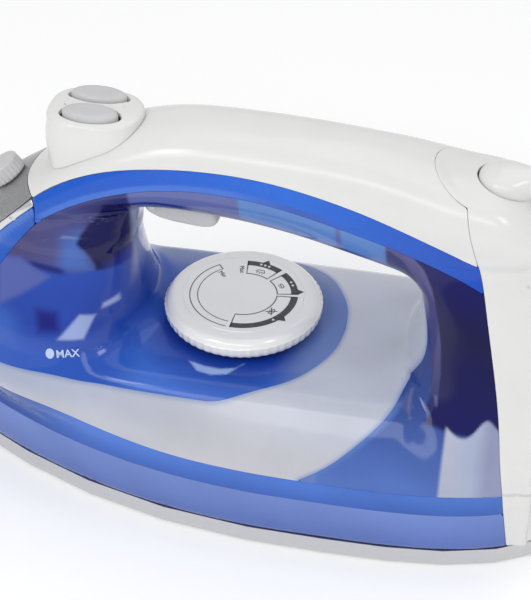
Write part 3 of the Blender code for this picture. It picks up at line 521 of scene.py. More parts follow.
def clip(points, normals, quads, value):
    """The part of the skin where value is above zero, cut along the line between."""
    inside = value > 0
    count = inside[quads].sum(1)
    whole = quads[count == 4]
    mixed = quads[(count > 0) & (count < 4)]
    triangles = np.concatenate([mixed[:, [0, 1, 2]], mixed[:, [0, 2, 3]]])
    kept = inside[triangles].sum(1)
    full = triangles[kept == 3]
    faces = [whole, np.pad(full, ((0, 0), (0, 1)), constant_values=-1)]
    pairs = []

    def cut(a, b):
        pairs.append(np.sort(np.stack([a, b], 1), axis=1))
        return len(pairs) - 1

    jobs = []
    for amount in (1, 2):
        part = triangles[kept == amount]
        flag = inside[part] if amount == 1 else ~inside[part]
        turn = flag.argmax(1)
        rows = np.arange(len(part))
        a, b, c = (part[rows, (turn + i) % 3] for i in range(3))
        jobs.append((amount, a, b, c, cut(a, b), cut(a, c)))
    stacked = np.concatenate(pairs)
    unique, inverse = np.unique(stacked, axis=0, return_inverse=True)
    inverse = inverse.ravel() + len(points)
    starts = np.cumsum([0] + [len(p) for p in pairs])
    for amount, a, b, c, ab, ac in jobs:
        ab, ac = (inverse[starts[i]:starts[i + 1]] for i in (ab, ac))
        if amount == 1:
            faces.append(np.stack([a, ab, ac, np.full(len(a), -1)], 1))
        else:
            faces.append(np.stack([ab, b, c, ac], 1))
    low, high = unique.T
    share = (value[low] / (value[low] - value[high]))[:, None]
    share = np.clip(share, 0.02, 0.98)
    fresh = points[low] * (1 - share) + points[high] * share
    fresh_normals = normals[low] * (1 - share) + normals[high] * share
    points = np.concatenate([points, fresh])
    normals = np.concatenate([normals, fresh_normals / np.linalg.norm(fresh_normals, axis=1)[:, None]])
    faces = np.concatenate(faces)
    used = np.unique(faces[faces >= 0])
    number = np.full(len(points) + 1, -1)
    number[used] = np.arange(len(used))
    return points[used], normals[used], number[faces]


def rim_of(faces):
    """Directed edges that one face only uses."""
    sizes = (faces >= 0).sum(1)
    edges = []
    for size in (3, 4):
        part = faces[sizes == size][:, :size]
        for i in range(size):
            edges.append(part[:, [i, (i + 1) % size]])
    edges = np.concatenate(edges)
    key = edges[:, 0] * (faces.max() + 1) + edges[:, 1]
    back_key = edges[:, 1] * (faces.max() + 1) + edges[:, 0]
    return edges[~np.isin(key, back_key)]


def part_of_skin(region, rounds):
    """The skin's quads in and near a region, made finer that many times."""
    used = skin_quads[(region(skin) > -3)[skin_quads].any(1)]
    numbers, quads = np.unique(used, return_inverse=True)
    points, quads = skin[numbers], quads.reshape(used.shape)
    for _ in range(rounds):
        points, quads = refine(points, quads)
    return points, unit_slopes(form, points), quads


def shell(name, region, source, gap, rounding, wall=2, steps=3):
    """A closed wall under one region of a skin, with rounded edges along its parting lines.

    Gives the object and its points, in millimetres.
    """
    points, normals, faces = clip(*source, region(source[0]) - gap - rounding)
    edges = rim_of(faces)
    outward = np.cross(points[edges[:, 1]] - points[edges[:, 0]], normals[edges[:, 0]] + normals[edges[:, 1]])
    total = np.zeros_like(points)
    for end in (0, 1):
        np.add.at(total, edges[:, end], outward)
    rim = np.unique(edges)
    aside = total[rim]
    aside -= (aside * normals[rim]).sum(1)[:, None] * normals[rim]
    aside /= np.linalg.norm(aside, axis=1)[:, None] + 1e-12
    number = np.full(len(points), -1)
    number[rim] = np.arange(len(rim))
    rings, ring_normals = [], []
    for i in range(1, steps + 1):
        turn = math.pi / 2 * i / steps
        rings.append(points[rim] + aside * rounding * math.sin(turn)
                     - normals[rim] * rounding * (1 - math.cos(turn)))
        ring_normals.append(aside * math.sin(turn) + normals[rim] * math.cos(turn))
    rings.append(points[rim] + aside * rounding - normals[rim] * wall)
    ring_normals.append(aside)
    count, size = len(points), len(rim)
    everything = np.concatenate([points, *rings, points - normals * wall])
    all_normals = np.concatenate([normals, *ring_normals, -normals])
    inner_start = count + size * len(rings)
    a, b = number[edges[:, 0]], number[edges[:, 1]]
    levels = [(edges[:, 0], edges[:, 1])]
    levels += [(count + size * i + a, count + size * i + b) for i in range(len(rings))]
    levels.append((inner_start + edges[:, 0], inner_start + edges[:, 1]))
    strips = [np.stack([upper[1], upper[0], lower[0], lower[1]], 1) for upper, lower in zip(levels, levels[1:])]
    inner = faces[:, ::-1].copy()
    threes = inner[:, 0] < 0
    inner[threes] = np.roll(inner[threes], -1, axis=1)
    inner = np.where(inner >= 0, inner + inner_start, -1)
    return mesh_object(name, everything, np.concatenate([faces, *strips, inner]), all_normals), everything


# -------- colours over the skin

LIGHT_LEVEL = 0.93       # what a white matt surface sends back in this studio
GLOSS = 0.031            # what the clear coat adds everywhere


def srgb(*values):
    """The colour to give a surface that should look like these display values."""
    v = np.array(values, float) / 255
    linear = np.where(v <= 0.04045, v / 12.92, ((v + 0.055) / 1.055) ** 2.4)
    return np.clip((linear - GLOSS) / LIGHT_LEVEL, 0.001, 0.95)


def edge(distance, soft=1.5):
    """0 outside and 1 inside, over a soft edge."""
    return smooth_step(0.5 + np.asarray(distance, float) / soft)


def ramp(t, *stops):
    """A colour that runs through (place, display values) stops."""
    places, colors = [place for place, _ in stops], [srgb(*color) for _, color in stops]
    return np.stack([np.interp(t, places, [color[i] for color in colors]) for i in range(3)], -1)


def lay(out, *coats):
    """Colours laid over each other, each a colour or display values with its mask."""
    for color, mask in coats:
        color = srgb(*color) if isinstance(color, tuple) else color
        out = out + (color - out) * np.asarray(mask)[..., None]
    return out


def inside(u, v, outline):
    """Signed distance inside a polygon in the plane (u, v)."""
    found, nearest = np.zeros(len(u), bool), np.full(len(u), 1e9)
    for (au, av), (bu, bv) in zip(outline, [*outline[1:], outline[0]]):
        du, dv = bu - au, bv - av
        t = np.clip(((u - au) * du + (v - av) * dv) / (du * du + dv * dv), 0, 1)
        nearest = np.minimum(nearest, np.hypot(u - au - t * du, v - av - t * dv))
        if av != bv:
            found ^= ((av > v) != (bv > v)) & (u < du * (v - av) / dv + au)
    return np.where(found, nearest, -nearest)


def wave(x, y, z, seed):
    """Smooth uneven variation between about -1 and 1."""
    total = 0
    for i in range(4):
        a = seed * 1.7 + i * 2.4
        total = total + math.sin(a) * np.sin((x * math.cos(a) + y * math.sin(a * 1.3) + z * math.cos(a * 0.7))
                                             * (0.09 + 0.05 * i) + a * 3)
    return total / 1.6


# What shows through the clear blue, and painted light on it (a rim highlight, reflections and highlights), as
# outlines in (x, z) or (x, y), lines z = f(x), and one path in space.
RIM_HIGHLIGHT_INNER = [(-53, 115.4), (-55.5, 114.7), (-60.2, 111), (-65.7, 101.4), (-68.8, 93.2), (-71, 86.1),
             (-73, 78.9), (-73.8, 69.1), (-73.8, 64.5), (-72.5, 60.8), (-71.1, 58)]
RIM_HIGHLIGHT_OUTER = [(-53, 119), (-58.5, 117.2), (-62.7, 115.1), (-67.4, 109.8), (-70.9, 102.5), (-73.7, 93.1),
             (-75.8, 84.5), (-76.8, 74.6), (-76.7, 65.9), (-74.9, 60.8), (-71.9, 57)]
CREASE = spline(*zip((38, 90), (40.6, 90.6), (44.8, 91.5), (48.8, 92), (57.7, 91.8), (65, 92.5),
                     (73.6, 93), (84, 92), (96, 88)))
UNDER_RIM = spline(*zip((-60, 102.8), (-47.4, 106.1), (-36.9, 109.1), (-22.6, 111.9), (-8.5, 115), (1.9, 116.7),
                        (12.5, 118.7), (19.6, 119.5), (29.9, 120.1), (40, 117.5)))
REFLECTION_PATCH_TOP = spline(*zip((-103, 60.4), (-99, 61), (-95, 63.4), (-91, 59.2), (-85, 57), (-81.5, 58.6)))
HOOD_BACK_WALL = [(36, 119), (46, 118), (49.1, 110.7), (51.5, 108.8), (54.7, 104.5), (55.9, 101.7), (52.6, 99.1),
                  (49.4, 94.1), (48.8, 92), (44.8, 91.5), (36, 90.5)]
UPPER_LIGHT = [(62, 92), (61, 103), (55.5, 106), (50, 92)]
LOWER_DARK = [(69, 79), (61, 79), (60, 72.5), (67.5, 71.5)]
LOWER_FACET = [(85.3, 91.7), (77, 94), (64.8, 89.7), (75.7, 82.4), (83.7, 77)]
RECESS = [(-75.9, 34.8, 66.3), (-76.3, 36.4, 64.2), (-75.9, 39, 62.4), (-74.9, 41.4, 60.2), (-73.1, 42.6, 58.3),
          (-70.9, 42.8, 57.6), (-68.9, 41.8, 58.8), (-67.6, 39.2, 60.6), (-66.9, 35.5, 62.6), (-67, 30.5, 64.8)]
CRESCENT_REFLECTION = [(13.5, 29.2), (8, 30.6), (2, 31), (-3.5, 29.6), (-6, 27), (-1, 33), (4.5, 34.2), (10, 33.2)]
HIGHLIGHTS = [[(60.4, 69.7), (53.1, 78.2), (48, 77.3), (51.3, 69.8)],
              [(46.2, 78.9), (45.8, 80.4), (41.6, 80.9), (41.2, 78.6)]]


def from_path(x, y, z, path):
    """Distance from a line of points, on both sides of the iron."""
    here = np.stack([x, np.abs(y), z], 1)
    nearest = np.full(len(x), 1e9)
    for a, b in zip(np.array(path, float), np.array(path[1:], float)):
        t = np.clip((here - a) @ (b - a) / ((b - a) @ (b - a)), 0, 1)
        nearest = np.minimum(nearest, np.linalg.norm(here - a - t[:, None] * (b - a), axis=1))
    return nearest


def deck_colors(x, y, z):
    """The deck round the dial, with a painted reflection: a pale crescent beside the dial on the camera's side."""
    return lay(ramp(np.hypot(x, y), (20, (57, 78, 161)), (31, (58, 80, 165)), (44, (78, 115, 201))),
               ((60, 94, 184), edge(x - 36, 16)),
               ((110, 132, 186), edge(-22 - x + np.maximum(-y, 0) * 0.3, 14) * 0.9),
               ((140, 152, 186), edge(-y - 22, 22) * 0.8),
               # painted reflection: a pale crescent on the deck beside the dial
               ((160, 186, 232), edge(inside(x, y, CRESCENT_REFLECTION), 0.9) * 0.85))


def hood_colors(x, y, z):
    """The hood: its inner walls seen through its side, a painted reflection above its crease with painted shade along
    it, a painted highlight on its back corner, and two painted highlights.
    """
    above = z - CREASE(x)
    # upper: painted reflection of the surroundings on the facet above the crease, with a lighter patch in it
    upper = lay(ramp(x, (40, (70, 70, 116)), (60, (88, 90, 140)), (80, (86, 82, 122))),
                ((84, 112, 182), edge(inside(x, z, UPPER_LIGHT), 7)))
    navy = ramp(z + (x - 40) * 0.6, (92, (40, 62, 148)), (99, (34, 36, 84)), (110, (46, 47, 90)))
    return lay(ramp(z, (62, (68, 99, 186)), (74, (58, 80, 164)), (92, (62, 86, 172))),
               ((70, 101, 183), edge(x - 76, 10) * edge(76 - z, 8)),
               ((43, 50, 120), edge(inside(x, z, LOWER_DARK), 4.5) * 0.9),
               # painted reflection above the crease
               (upper, edge(above, np.interp(x, (50, 62), (1, 5)))),
               # painted shade: a dark line along the crease
               ((45, 50, 110), edge(1 - np.abs(above + 0.3), 1.4) * edge(np.minimum(x - 60, 73 - x), 4) * 0.8),
               (navy, edge(inside(x, z, HOOD_BACK_WALL), 1.6)),
               ((92, 104, 168), edge(inside(x, z, LOWER_FACET), 2.2)),
               # painted highlight along the hood's back corner
               ((150, 158, 192), edge(38.9 - x, 1.6) * edge(z - 84, 12) * edge(114 - z, 4) * 0.8),
               *(((178, 192, 232), edge(inside(x, z, outline), 1.4) * 0.7) for outline in HIGHLIGHTS))


def under_colors(x, y, z):
    """The handle's lower half: the lighter stretches between its ribs, a rim, and a paler underside."""
    above = z - UNDER_RIM(x)
    between_ribs = edge(either(17 - np.abs(x + 19.2), 8 - np.abs(x + 46)), 1.5)
    return lay(srgb(112, 116, 160),
               (lay(srgb(107, 116, 170), ((105, 142, 205), between_ribs)), edge(above, 1.2)),
               ((58, 66, 130), edge(1 - np.abs(above + 0.3), 1) * 0.9),
               ((176, 180, 200), edge(-4.2 - above, 3) * 0.8))


def column_colors(x, y, z):
    """The rear column: a dark core behind a painted highlight along its rim, and a painted reflection as a pale patch
    low down at the seam.
    """
    core = ramp(z, (62, (40, 44, 98)), (90, (40, 34, 82)), (108, (48, 46, 104)))
    in_core = inside(x, z, [*RIM_HIGHLIGHT_OUTER, (-120, 57), (-120, 119)])
    # rim: painted highlight along the column's front rim, lighter upwards
    rim = ramp(z, (58, (53, 60, 113)), (80, (85, 83, 128)), (112, (102, 99, 144)))
    in_rim_highlight = inside(x, z, [*RIM_HIGHLIGHT_INNER, *reversed(RIM_HIGHLIGHT_OUTER)])
    # painted reflection: a pale patch low on the column by the seam, lighter towards the nose
    reflection_patch = ramp(x, (-97, (150, 156, 188)), (-92, (172, 182, 208)), (-83, (184, 188, 208)))
    return lay(ramp(z, (40, (93, 120, 190)), (62, (68, 88, 151)), (95, (72, 74, 122))),
               ((95, 125, 190), edge(2 - np.abs(x - column_edge(z)), 3) * edge(62 - z, 4)),
               (core, edge(in_core, 0.8) * edge(z - 57.8 + 0.5 * wave(x, y, z, 3), 2)),
               (rim, edge(in_rim_highlight, 0.8) * edge(z - 61, 2)),
               (reflection_patch, edge(both(-81 - x, REFLECTION_PATCH_TOP(x) - z), 1.4)),
               ((112, 116, 160), edge(0.7 - from_path(x, y, z, RECESS), 0.8) * 0.75))


def uneven(p, amount, seed):
    return (1 + amount * wave(*p.T, seed))[:, None]


def paint_shell(p):
    x, y, z = p.T
    out = lay(deck_colors(x, y, z),
              (hood_colors(x, y, z), edge(np.minimum(z - 63.4, x - 28), 1.6)),
              (under_colors(x, y, z), edge(np.minimum(z - 96, 37 - x), 1.5)),
              (column_colors(x, y, z), edge(np.minimum(-38 - x, np.maximum(-54 - x, 96 - z)), 1.5)))
    return out * uneven(p, 0.05, 1)


def paint_window(p):
    x, y, z = p.T
    near_column = smooth_min(past_column(p), WINDOW_TOP - z, 6)
    out = lay(ramp(x, (-70, (192, 197, 211)), (-40, (194, 198, 211)), (0, (193, 196, 205)), (40, (182, 187, 203)),
                   (90, (164, 173, 197))),
              ((194, 194, 200), edge(48 - z, 10) * 0.7),
              ((222, 223, 230), edge(-y - 30, 24) * 0.7),
              ((122, 142, 192), edge(0.8 + on_deck(p), 2.2) * 0.7),
              ((112, 136, 200), edge(0.6 - near_column, 2.2) * 0.75))
    return out * uneven(p, 0.035, 2)


def paint_tub(p):
    out = lay(ramp(p[:, 2], (30, (72, 104, 184)), (38, (88, 126, 208))), ((58, 86, 160), edge(p[:, 0] - 66, 40)))
    return out * uneven(p, 0.06, 4)


def paint_skirt(p):
    return ramp(p[:, 2], (12, (92, 112, 178)), (22, (106, 128, 192)), (30, (116, 138, 200))) * uneven(p, 0.06, 5)


def paint_band(p):
    """Clear blue over a dark core, with a painted reflection: a lighter lower half that narrows towards the heel."""
    x = p[:, 0]
    # lower: painted reflection along the band's lower half, fading out towards the heel and near the nose
    lower = edge(2.7 - over_low(p), 1.2) * edge(x + 36, 24) * edge(70 - x, 6)
    ahead = edge(x - 71, 2)
    return lay(ramp(x, (-85, (40, 88, 190)), (-20, (55, 111, 214)), (40, (44, 97, 202)), (95, (50, 96, 190))),
               (ramp(x, (-22, (70, 98, 182)), (0, (80, 124, 212))), lower * 0.9),
               ((54, 98, 192), ahead * 0.8),
               ((82, 122, 204), ahead * edge(over_lip(p) + 4.8, 1.2)))


PAINTS = dict(tank_shell=paint_shell, tank_window=paint_window, tank_tub=paint_tub, base_skirt=paint_skirt,
              handle_band_left=paint_band, handle_band_right=paint_band, front_band=paint_band)


def tint(obj, colors):
    """Stores a colour for each vertex, which the painted looks read."""
    layer = obj.data.color_attributes.new("tint", "FLOAT_COLOR", "POINT")
    rgba = np.ones((len(colors), 4), np.float32)
    rgba[:, :3] = np.clip(colors, 0.001, 1)
    layer.data.foreach_set("color", rgba.ravel())


# -------- materials

class Nodes:
    """A short way to write a material's node tree."""

    def __init__(self, name):
        self.material = bpy.data.materials.new(name)
        self.material.use_nodes = True
        self.tree = self.material.node_tree
        self.shader = self.tree.nodes["Principled BSDF"]

    def add(self, kind, inputs=(), **settings):
        node = self.tree.nodes.new("ShaderNode" + kind)
        for key, value in settings.items():
            setattr(node, key, value)
        for key, value in dict(inputs).items():
            self.feed(node.inputs[key], value)
        return node

    def feed(self, socket, value):
        if isinstance(value, bpy.types.NodeSocket):
            self.tree.links.new(value, socket)
        else:
            socket.default_value = value

    def noise(self, scale, detail=3, rough=0.55, stretch=None):
        where = self.add("TexCoord").outputs["Object"]
        if stretch:
            where = self.add("Mapping", {"Vector": where, "Scale": stretch}).outputs["Vector"]
        return self.add("TexNoise", {"Vector": where, "Scale": scale, "Detail": detail,
                                     "Roughness": rough}).outputs["Fac"]

    def spread(self, value, low, high, start=0.3, end=0.7):
        return self.add("MapRange", {"Value": value, "From Min": start, "From Max": end, "To Min": low,
                                     "To Max": high}).outputs["Result"]

    def mix(self, factor, a, b, mode="MIX"):
        node = self.add("Mix", data_type="RGBA", blend_type=mode)
        for socket, value in ((node.inputs[0], factor), (node.inputs[6], a), (node.inputs[7], b)):
            self.feed(socket, value)
        return node.outputs[2]


def rgba(color):
    return (*[float(c) for c in color], 1)


def finish(name, color=None, shade=0.9, rough=(0.2, 0.3), grain=1500, bump=0.03, coat=0, metallic=0,
           specular=0.5, mottle=70, wear=None, stretch=None, sheen_dust=0.06):
    """A moulded or metal finish: a colour with slow mottling, fine grain, worn edges, and pale specks that are partly
    dust and partly painted sheen.

    Without a colour, it takes the one that tint() stored.
    """
    n = Nodes(name)
    base = n.add("Attribute", attribute_name="tint").outputs["Color"] if color is None else rgba(color)
    darker = n.mix(n.spread(n.noise(mottle, 4), 0, 1), (shade, shade, shade, 1), (1, 1, 1, 1))
    surface = n.mix(1, base, darker, "MULTIPLY")
    fine = n.noise(grain, 2, 0.6, stretch)
    # pale specks: partly dust, partly painted sheen
    speck = n.spread(n.noise(grain * 0.6, 1, 0.5), 0, sheen_dust, 0.62, 0.74)
    surface = n.mix(speck, surface, (0.75, 0.76, 0.78, 1))
    if wear:
        edges = n.spread(n.add("NewGeometry").outputs["Pointiness"], 0, wear[0], 0.52, 0.6)
        surface = n.mix(edges, surface, rgba(wear[1]))
    n.feed(n.shader.inputs["Base Color"], surface)
    n.feed(n.shader.inputs["Roughness"], n.spread(n.noise(mottle * 2.2, 5), *rough))
    bumps = n.add("Bump", {"Height": fine, "Strength": bump, "Distance": 0.0002})
    n.feed(n.shader.inputs["Normal"], bumps.outputs["Normal"])
    for socket, value in (("Metallic", metallic), ("Specular IOR Level", specular), ("Coat Weight", coat),
                          ("Coat Roughness", 0.06)):
        n.shader.inputs[socket].default_value = value
    return n.material


LOOKS = {name: finish(name, *usual, **special) for name, usual, special in (
    ("white_plastic", ((0.765, 0.765, 0.755), 0.975, (0.16, 0.24)), dict(bump=0.015, specular=0.45, sheen_dust=0.02)),
    # the dial's white, lighter than the cover's to make up for the handle's shadow on it: painted light
    ("white_gloss", ((0.87, 0.87, 0.86), 0.975, (0.08, 0.14)), dict(bump=0.008, coat=0.6, sheen_dust=0.02)),
    ("blue_plastic", (srgb(47, 100, 204), 0.93, (0.12, 0.2)), dict(coat=0.3, specular=0.35)),
    ("clear_blue", (srgb(74, 105, 190), 0.88, (0.08, 0.16)), dict(coat=0.2, specular=0.3)),
    ("clear_pale", (srgb(186, 190, 202), 0.93, (0.10, 0.18)), dict(coat=0.2, specular=0.3)),
    ("silver_plastic", ((0.30, 0.30, 0.315), 0.9, (0.25, 0.34), 2600, 0.08),
     dict(metallic=0.35, coat=0.3, sheen_dust=0.35)),
    ("grey_plastic", ((0.58, 0.58, 0.59), 0.94, (0.3, 0.42), 1200, 0.05), {}),
    ("bright_trim", ((0.72, 0.73, 0.75), 0.9, (0.08, 0.16)), dict(metallic=0.85, specular=0.6)),
    ("sole_metal", ((0.86, 0.86, 0.87), 0.9, (0.22, 0.38), 900, 0.12),
     dict(metallic=1, wear=(0.5, (0.85, 0.85, 0.86)), stretch=(0.05, 1, 1))),
    ("steel", ((0.55, 0.55, 0.56), 0.82, (0.25, 0.4), 1400, 0.1), dict(metallic=1, wear=(0.5, (0.8, 0.8, 0.81)))),
    ("brass", ((0.72, 0.52, 0.24), 0.8, (0.24, 0.38), 1400, 0.08), dict(metallic=1)),
    ("dark_plastic", ((0.035, 0.036, 0.04), 0.8, (0.35, 0.5), 900, 0.08), {}),
    ("painted_blue", (None, 0.93, (0.07, 0.15), 1800, 0.012), dict(coat=0.15, specular=0.3, sheen_dust=0)),
    ("painted_pale", (None, 0.95, (0.09, 0.18), 1800, 0.015), dict(coat=0.15, specular=0.3, sheen_dust=0.05)),
    ("painted_gloss", (None, 0.95, (0.14, 0.22), 1800, 0.012), dict(coat=0.2, specular=0.35, sheen_dust=0.02)),
    ("print_ink", (srgb(88, 90, 95), 0.85, (0.4, 0.5), 3000, 0.05), dict(specular=0.3)),
    ("print_pale", (srgb(190, 208, 240), 0.9, (0.4, 0.5), 3000, 0.05), dict(specular=0.3)),
)}


def dress(obj, look, body, slot, *replaced):
    """Gives a piece its material and body, and hides the CAD nodes that it stands for; its slot is not used."""
    obj.data.materials.clear()
    obj.data.materials.append(LOOKS[look])
    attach(obj, body)
    if replaced:
        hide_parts(*replaced)
    return obj


for row in frame["record"]["materials"]:
    for node in row.get("nodes", []):
        mesh = frame["nodes"][node].data
        mesh.materials.clear()
        mesh.materials.append(LOOKS[row["slot"]])

SHELLS = {          # look, slot, times its skin is made finer, gap and rounding
    "handle_cover": ("white_plastic", "white_plastic", 0, 0.03, 0.25),
    "handle_band_left": ("painted_gloss", "blue_plastic", 1, 0.03, 0.2),
    "handle_band_right": ("painted_gloss", "blue_plastic", 1, 0.03, 0.2),
    "silver_fascia": ("silver_plastic", "silver_plastic", 1, 0.06, 0.3),
    "fascia_lip": ("bright_trim", "bright_trim", 1, 0.03, 0.5),
    "front_band": ("painted_gloss", "blue_plastic", 0, 0.05, 0.25),
    "rear_cover": ("white_plastic", "white_plastic", 0, 0.04, 0.35),
    "tank_shell": ("painted_blue", "clear_blue", 1, 0.01, 0.03),
    "tank_window": ("painted_pale", "clear_pale", 1, 0.01, 0.03),
    "tank_tub": ("painted_blue", "clear_blue", 0, 0.02, 0.1),
    "base_skirt": ("painted_blue", "clear_blue", 0, 0.03, 0.2),
}
STANDS_FOR = {"tank_shell": ["tank_top", "handle_lower", "rear_column"]}      # the others stand for their own node
for name, (look, slot, rounds, gap, rounding) in SHELLS.items():
    region = REGIONS[name]
    source = part_of_skin(region, rounds) if rounds else (skin, skin_normals, skin_quads)
    obj, points = shell(name + "_skin", region, source, gap, rounding)
    if name in PAINTS:
        tint(obj, PAINTS[name](points))
    dress(obj, look, "housing", slot, *STANDS_FOR.get(name, [name]))


# -------- button module

points, quads = net(module, (30, -18, 101), (74, 18, 152), 1)
points = onto(module, relax(points, quads, 2))
module_skin = points, unit_slopes(module, points), quads
obj, _ = shell("button_module", lambda p: both(handle(*p.T) - 0.05, button_gap(p), p[:, 2] - MODULE_FOOT),
               module_skin, 0.05, 0.4, 1.6)
dress(obj, "white_plastic", "housing", "white_plastic", "button_housing")


def over_rings(rings):
    """Points and faces of a closed skin over rings of points, each end closed with a fan."""
    rings = np.array(rings, float)
    levels, count = rings.shape[:2]
    index = np.arange(levels * count).reshape(levels, count)
    following = np.roll(index, -1, 1)
    faces = [np.stack([index[:-1], following[:-1], following[1:], index[1:]], -1).reshape(-1, 4)]
    for a, b, end in ((following[0], index[0], 0), (index[-1], following[-1], 1)):
        faces.append(np.stack([a, b, np.full(count, levels * count + end), np.full(count, -1)], 1))
    points = [rings.reshape(-1, 3), np.stack([rings[0].mean(0), rings[-1].mean(0)])]
    return np.concatenate(points), np.concatenate(faces)


CAP_STEPS = 64
turns = np.linspace(0, 2 * math.pi, CAP_STEPS, endpoint=False)
for side, word in ((1, "steam"), (-1, "spray")):
    rings = []
    for z, scale in ((138.4, 1), (147.9, 1), (148.5, 0.985), (149, 0.94), (149.4, 0.86), (149.6, 0.72),
                     (149.55, 0.5), (149.45, 0.25)):
        rings.append(np.stack([BUTTON_X + BUTTON_SIZE[0] * scale * np.cos(turns),
                               side * BUTTON_Y + BUTTON_SIZE[1] * scale * np.sin(turns),
                               np.full(CAP_STEPS, z)], 1))
    obj = mesh_object(word + "_cap", *over_rings(rings), sharp=50)
    dress(obj, "grey_plastic", word + "_button", "grey_plastic", word + "_button")


# -------- turned pieces

def turned(name, profile, steps, x=0, z=0, tilt=0, carve=None, sharp=35):
    """A turned piece from (radius, height) points that run from the top's middle to the bottom's."""
    profile = np.array(profile, float)
    turns = np.linspace(0, 2 * math.pi, steps, endpoint=False)
    radius = np.repeat(profile[:, :1], steps, 1)
    level = np.repeat(profile[:, 1:], steps, 1)
    if carve:
        radius = carve(radius, level, turns[None, :])
    px, py = radius * np.cos(turns), radius * np.sin(turns)
    place_x = x + px * math.cos(tilt) + level * math.sin(tilt)
    place_z = z - px * math.sin(tilt) + level * math.cos(tilt)
    rings = np.stack([place_x, py, place_z], -1)[::-1]
    return mesh_object(name, *over_rings(rings), sharp=sharp)


def arc(cx, cz, radius, start, end, steps):
    turns = np.radians(np.linspace(start, end, steps))
    return [(cx + radius * math.cos(t), cz + radius * math.sin(t)) for t in turns]


def fluted(count, depth, power, beyond, below):
    """A carve that cuts grips all round, outside one radius and under one height, each with its run-in."""
    def carve(radius, level, turns):
        here = smooth_step((radius - beyond[0]) / beyond[1]) * smooth_step((below[0] - level) / below[1])
        return radius - depth * here * (0.5 + 0.5 * np.cos(count * turns)) ** power
    return carve


DIAL_RADIUS = 29
dial_profile = [(0.3, DIAL_FACE), (10, DIAL_FACE), (18, DIAL_FACE), (22, DIAL_FACE), (22.15, DIAL_FACE - 0.18),
                (22.45, DIAL_FACE - 0.18), (22.6, DIAL_FACE - 0.02), (24.6, DIAL_FACE - 0.08)]
dial_profile += arc(24.9, 69.1, 3.8, 86, 20, 9) + [(DIAL_RADIUS, 69.9), (DIAL_RADIUS, 69.3), (DIAL_RADIUS, 68.6)]
dial_profile += [(28.95, 68), (28.8, 67.3), (28.5, 66.6), (28.1, 66), (27.5, 65.6), (26.8, 65.4), (26.2, 65.4),
                 (26, 65.8), (25.8, 70.6), (4.8, 70.8), (4.8, 65.6), (2.8, 65.6), (2.8, 70.6), (0.3, 70.6)]
scallops = fluted(56, 0.26, 1.2, (25.9, 0.6), (71.2, 2.6))
dress(turned("temperature_dial", dial_profile, 480, carve=scallops, sharp=40), "white_gloss", "dial",
      "white_plastic", "dial")
seat_profile = [(6.4, 64.9), (22.2, 64.9)] + arc(22.6, 64.1, 0.8, 80, 0, 6) + [(23.8, 63.4), (6.4, 63.4)]
dress(turned("dial_collar", seat_profile, 96), "blue_plastic", "housing", "blue_plastic", "dial_seat")

knob_profile = [(0.2, 6.3), (4.6, 6.45), (5.4, 6.6)] + arc(6, 5.7, 0.9, 85, 0, 6)
knob_profile += [(7, 4.4), (7.2, 2.2), (7.3, 1.1), (6.9, 0.5), (2.2, 0.5), (2.2, -7), (0.2, -7)]
grips = fluted(24, 0.35, 2, (6.3, 0.4), (5.4, 0.8))
dress(turned("steam_dial", knob_profile, 192, *KNOB_FOOT, KNOB_TILT, grips), "grey_plastic", "steam_knob",
      "grey_plastic", "steam_knob")
nozzle = [(0.7, 3.6), (0.9, 4), (2.2, 4.05), (2.7, 3.9), (3.1, 3.4), (3.2, 2.6), (3.2, 0.4), (0.7, 0.4)]
dress(turned("nozzle_tip", nozzle, 64, 101, 94, math.pi / 2), "grey_plastic", "housing", "grey_plastic",
      "spray_nozzle")

DOME_RADIUS, DOME_HEIGHT, DOME_FOOT, SWIVEL_FOOT = 9, 4.2, 137.8, 131
SPOUT_END, SPOUT_HEIGHT, SPOUT_RADIUS, BORE_RADIUS = -117, 138, 4.6, 3.3


def dome_gauge(x, y, z):
    across = ((x - SWIVEL_X) / DOME_RADIUS) ** 2 + (y / DOME_RADIUS) ** 2
    return (across + (np.maximum(z - DOME_FOOT, 0) / DOME_HEIGHT) ** 2) ** 0.5 * DOME_RADIUS - DOME_RADIUS


def swivel(x, y, z):
    """A low dome over the cord's hole with a short bored spout backwards."""
    reach = np.clip((SWIVEL_X - x) / (SWIVEL_X - SPOUT_END), 0, 1)
    spout = np.hypot(y, z - SPOUT_HEIGHT + 2.2 * (1 - reach) ** 2) - (SPOUT_RADIUS + 0.9 * (1 - reach))
    spout = smooth_max(spout, np.maximum(SPOUT_END - x, x - SWIVEL_X), 1.2)
    whole = smooth_max(smooth_min(to_distance(dome_gauge)(x, y, z), spout, 4), SWIVEL_FOOT - z, 0.6)
    bore = smooth_max(np.hypot(y, z - SPOUT_HEIGHT) - BORE_RADIUS, x - (SWIVEL_X - 4), 0.3)
    return smooth_max(whole, -bore, 0.6)


points, quads = net(swivel, (-120, -12, 128), (-80, 12, 145), 0.6)
points = onto(swivel, relax(points, quads, 2))
dress(mesh_object("cord_exit", points, quads, unit_slopes(swivel, points)), "white_plastic", "cord_swivel",
      "white_plastic", "cord_swivel")

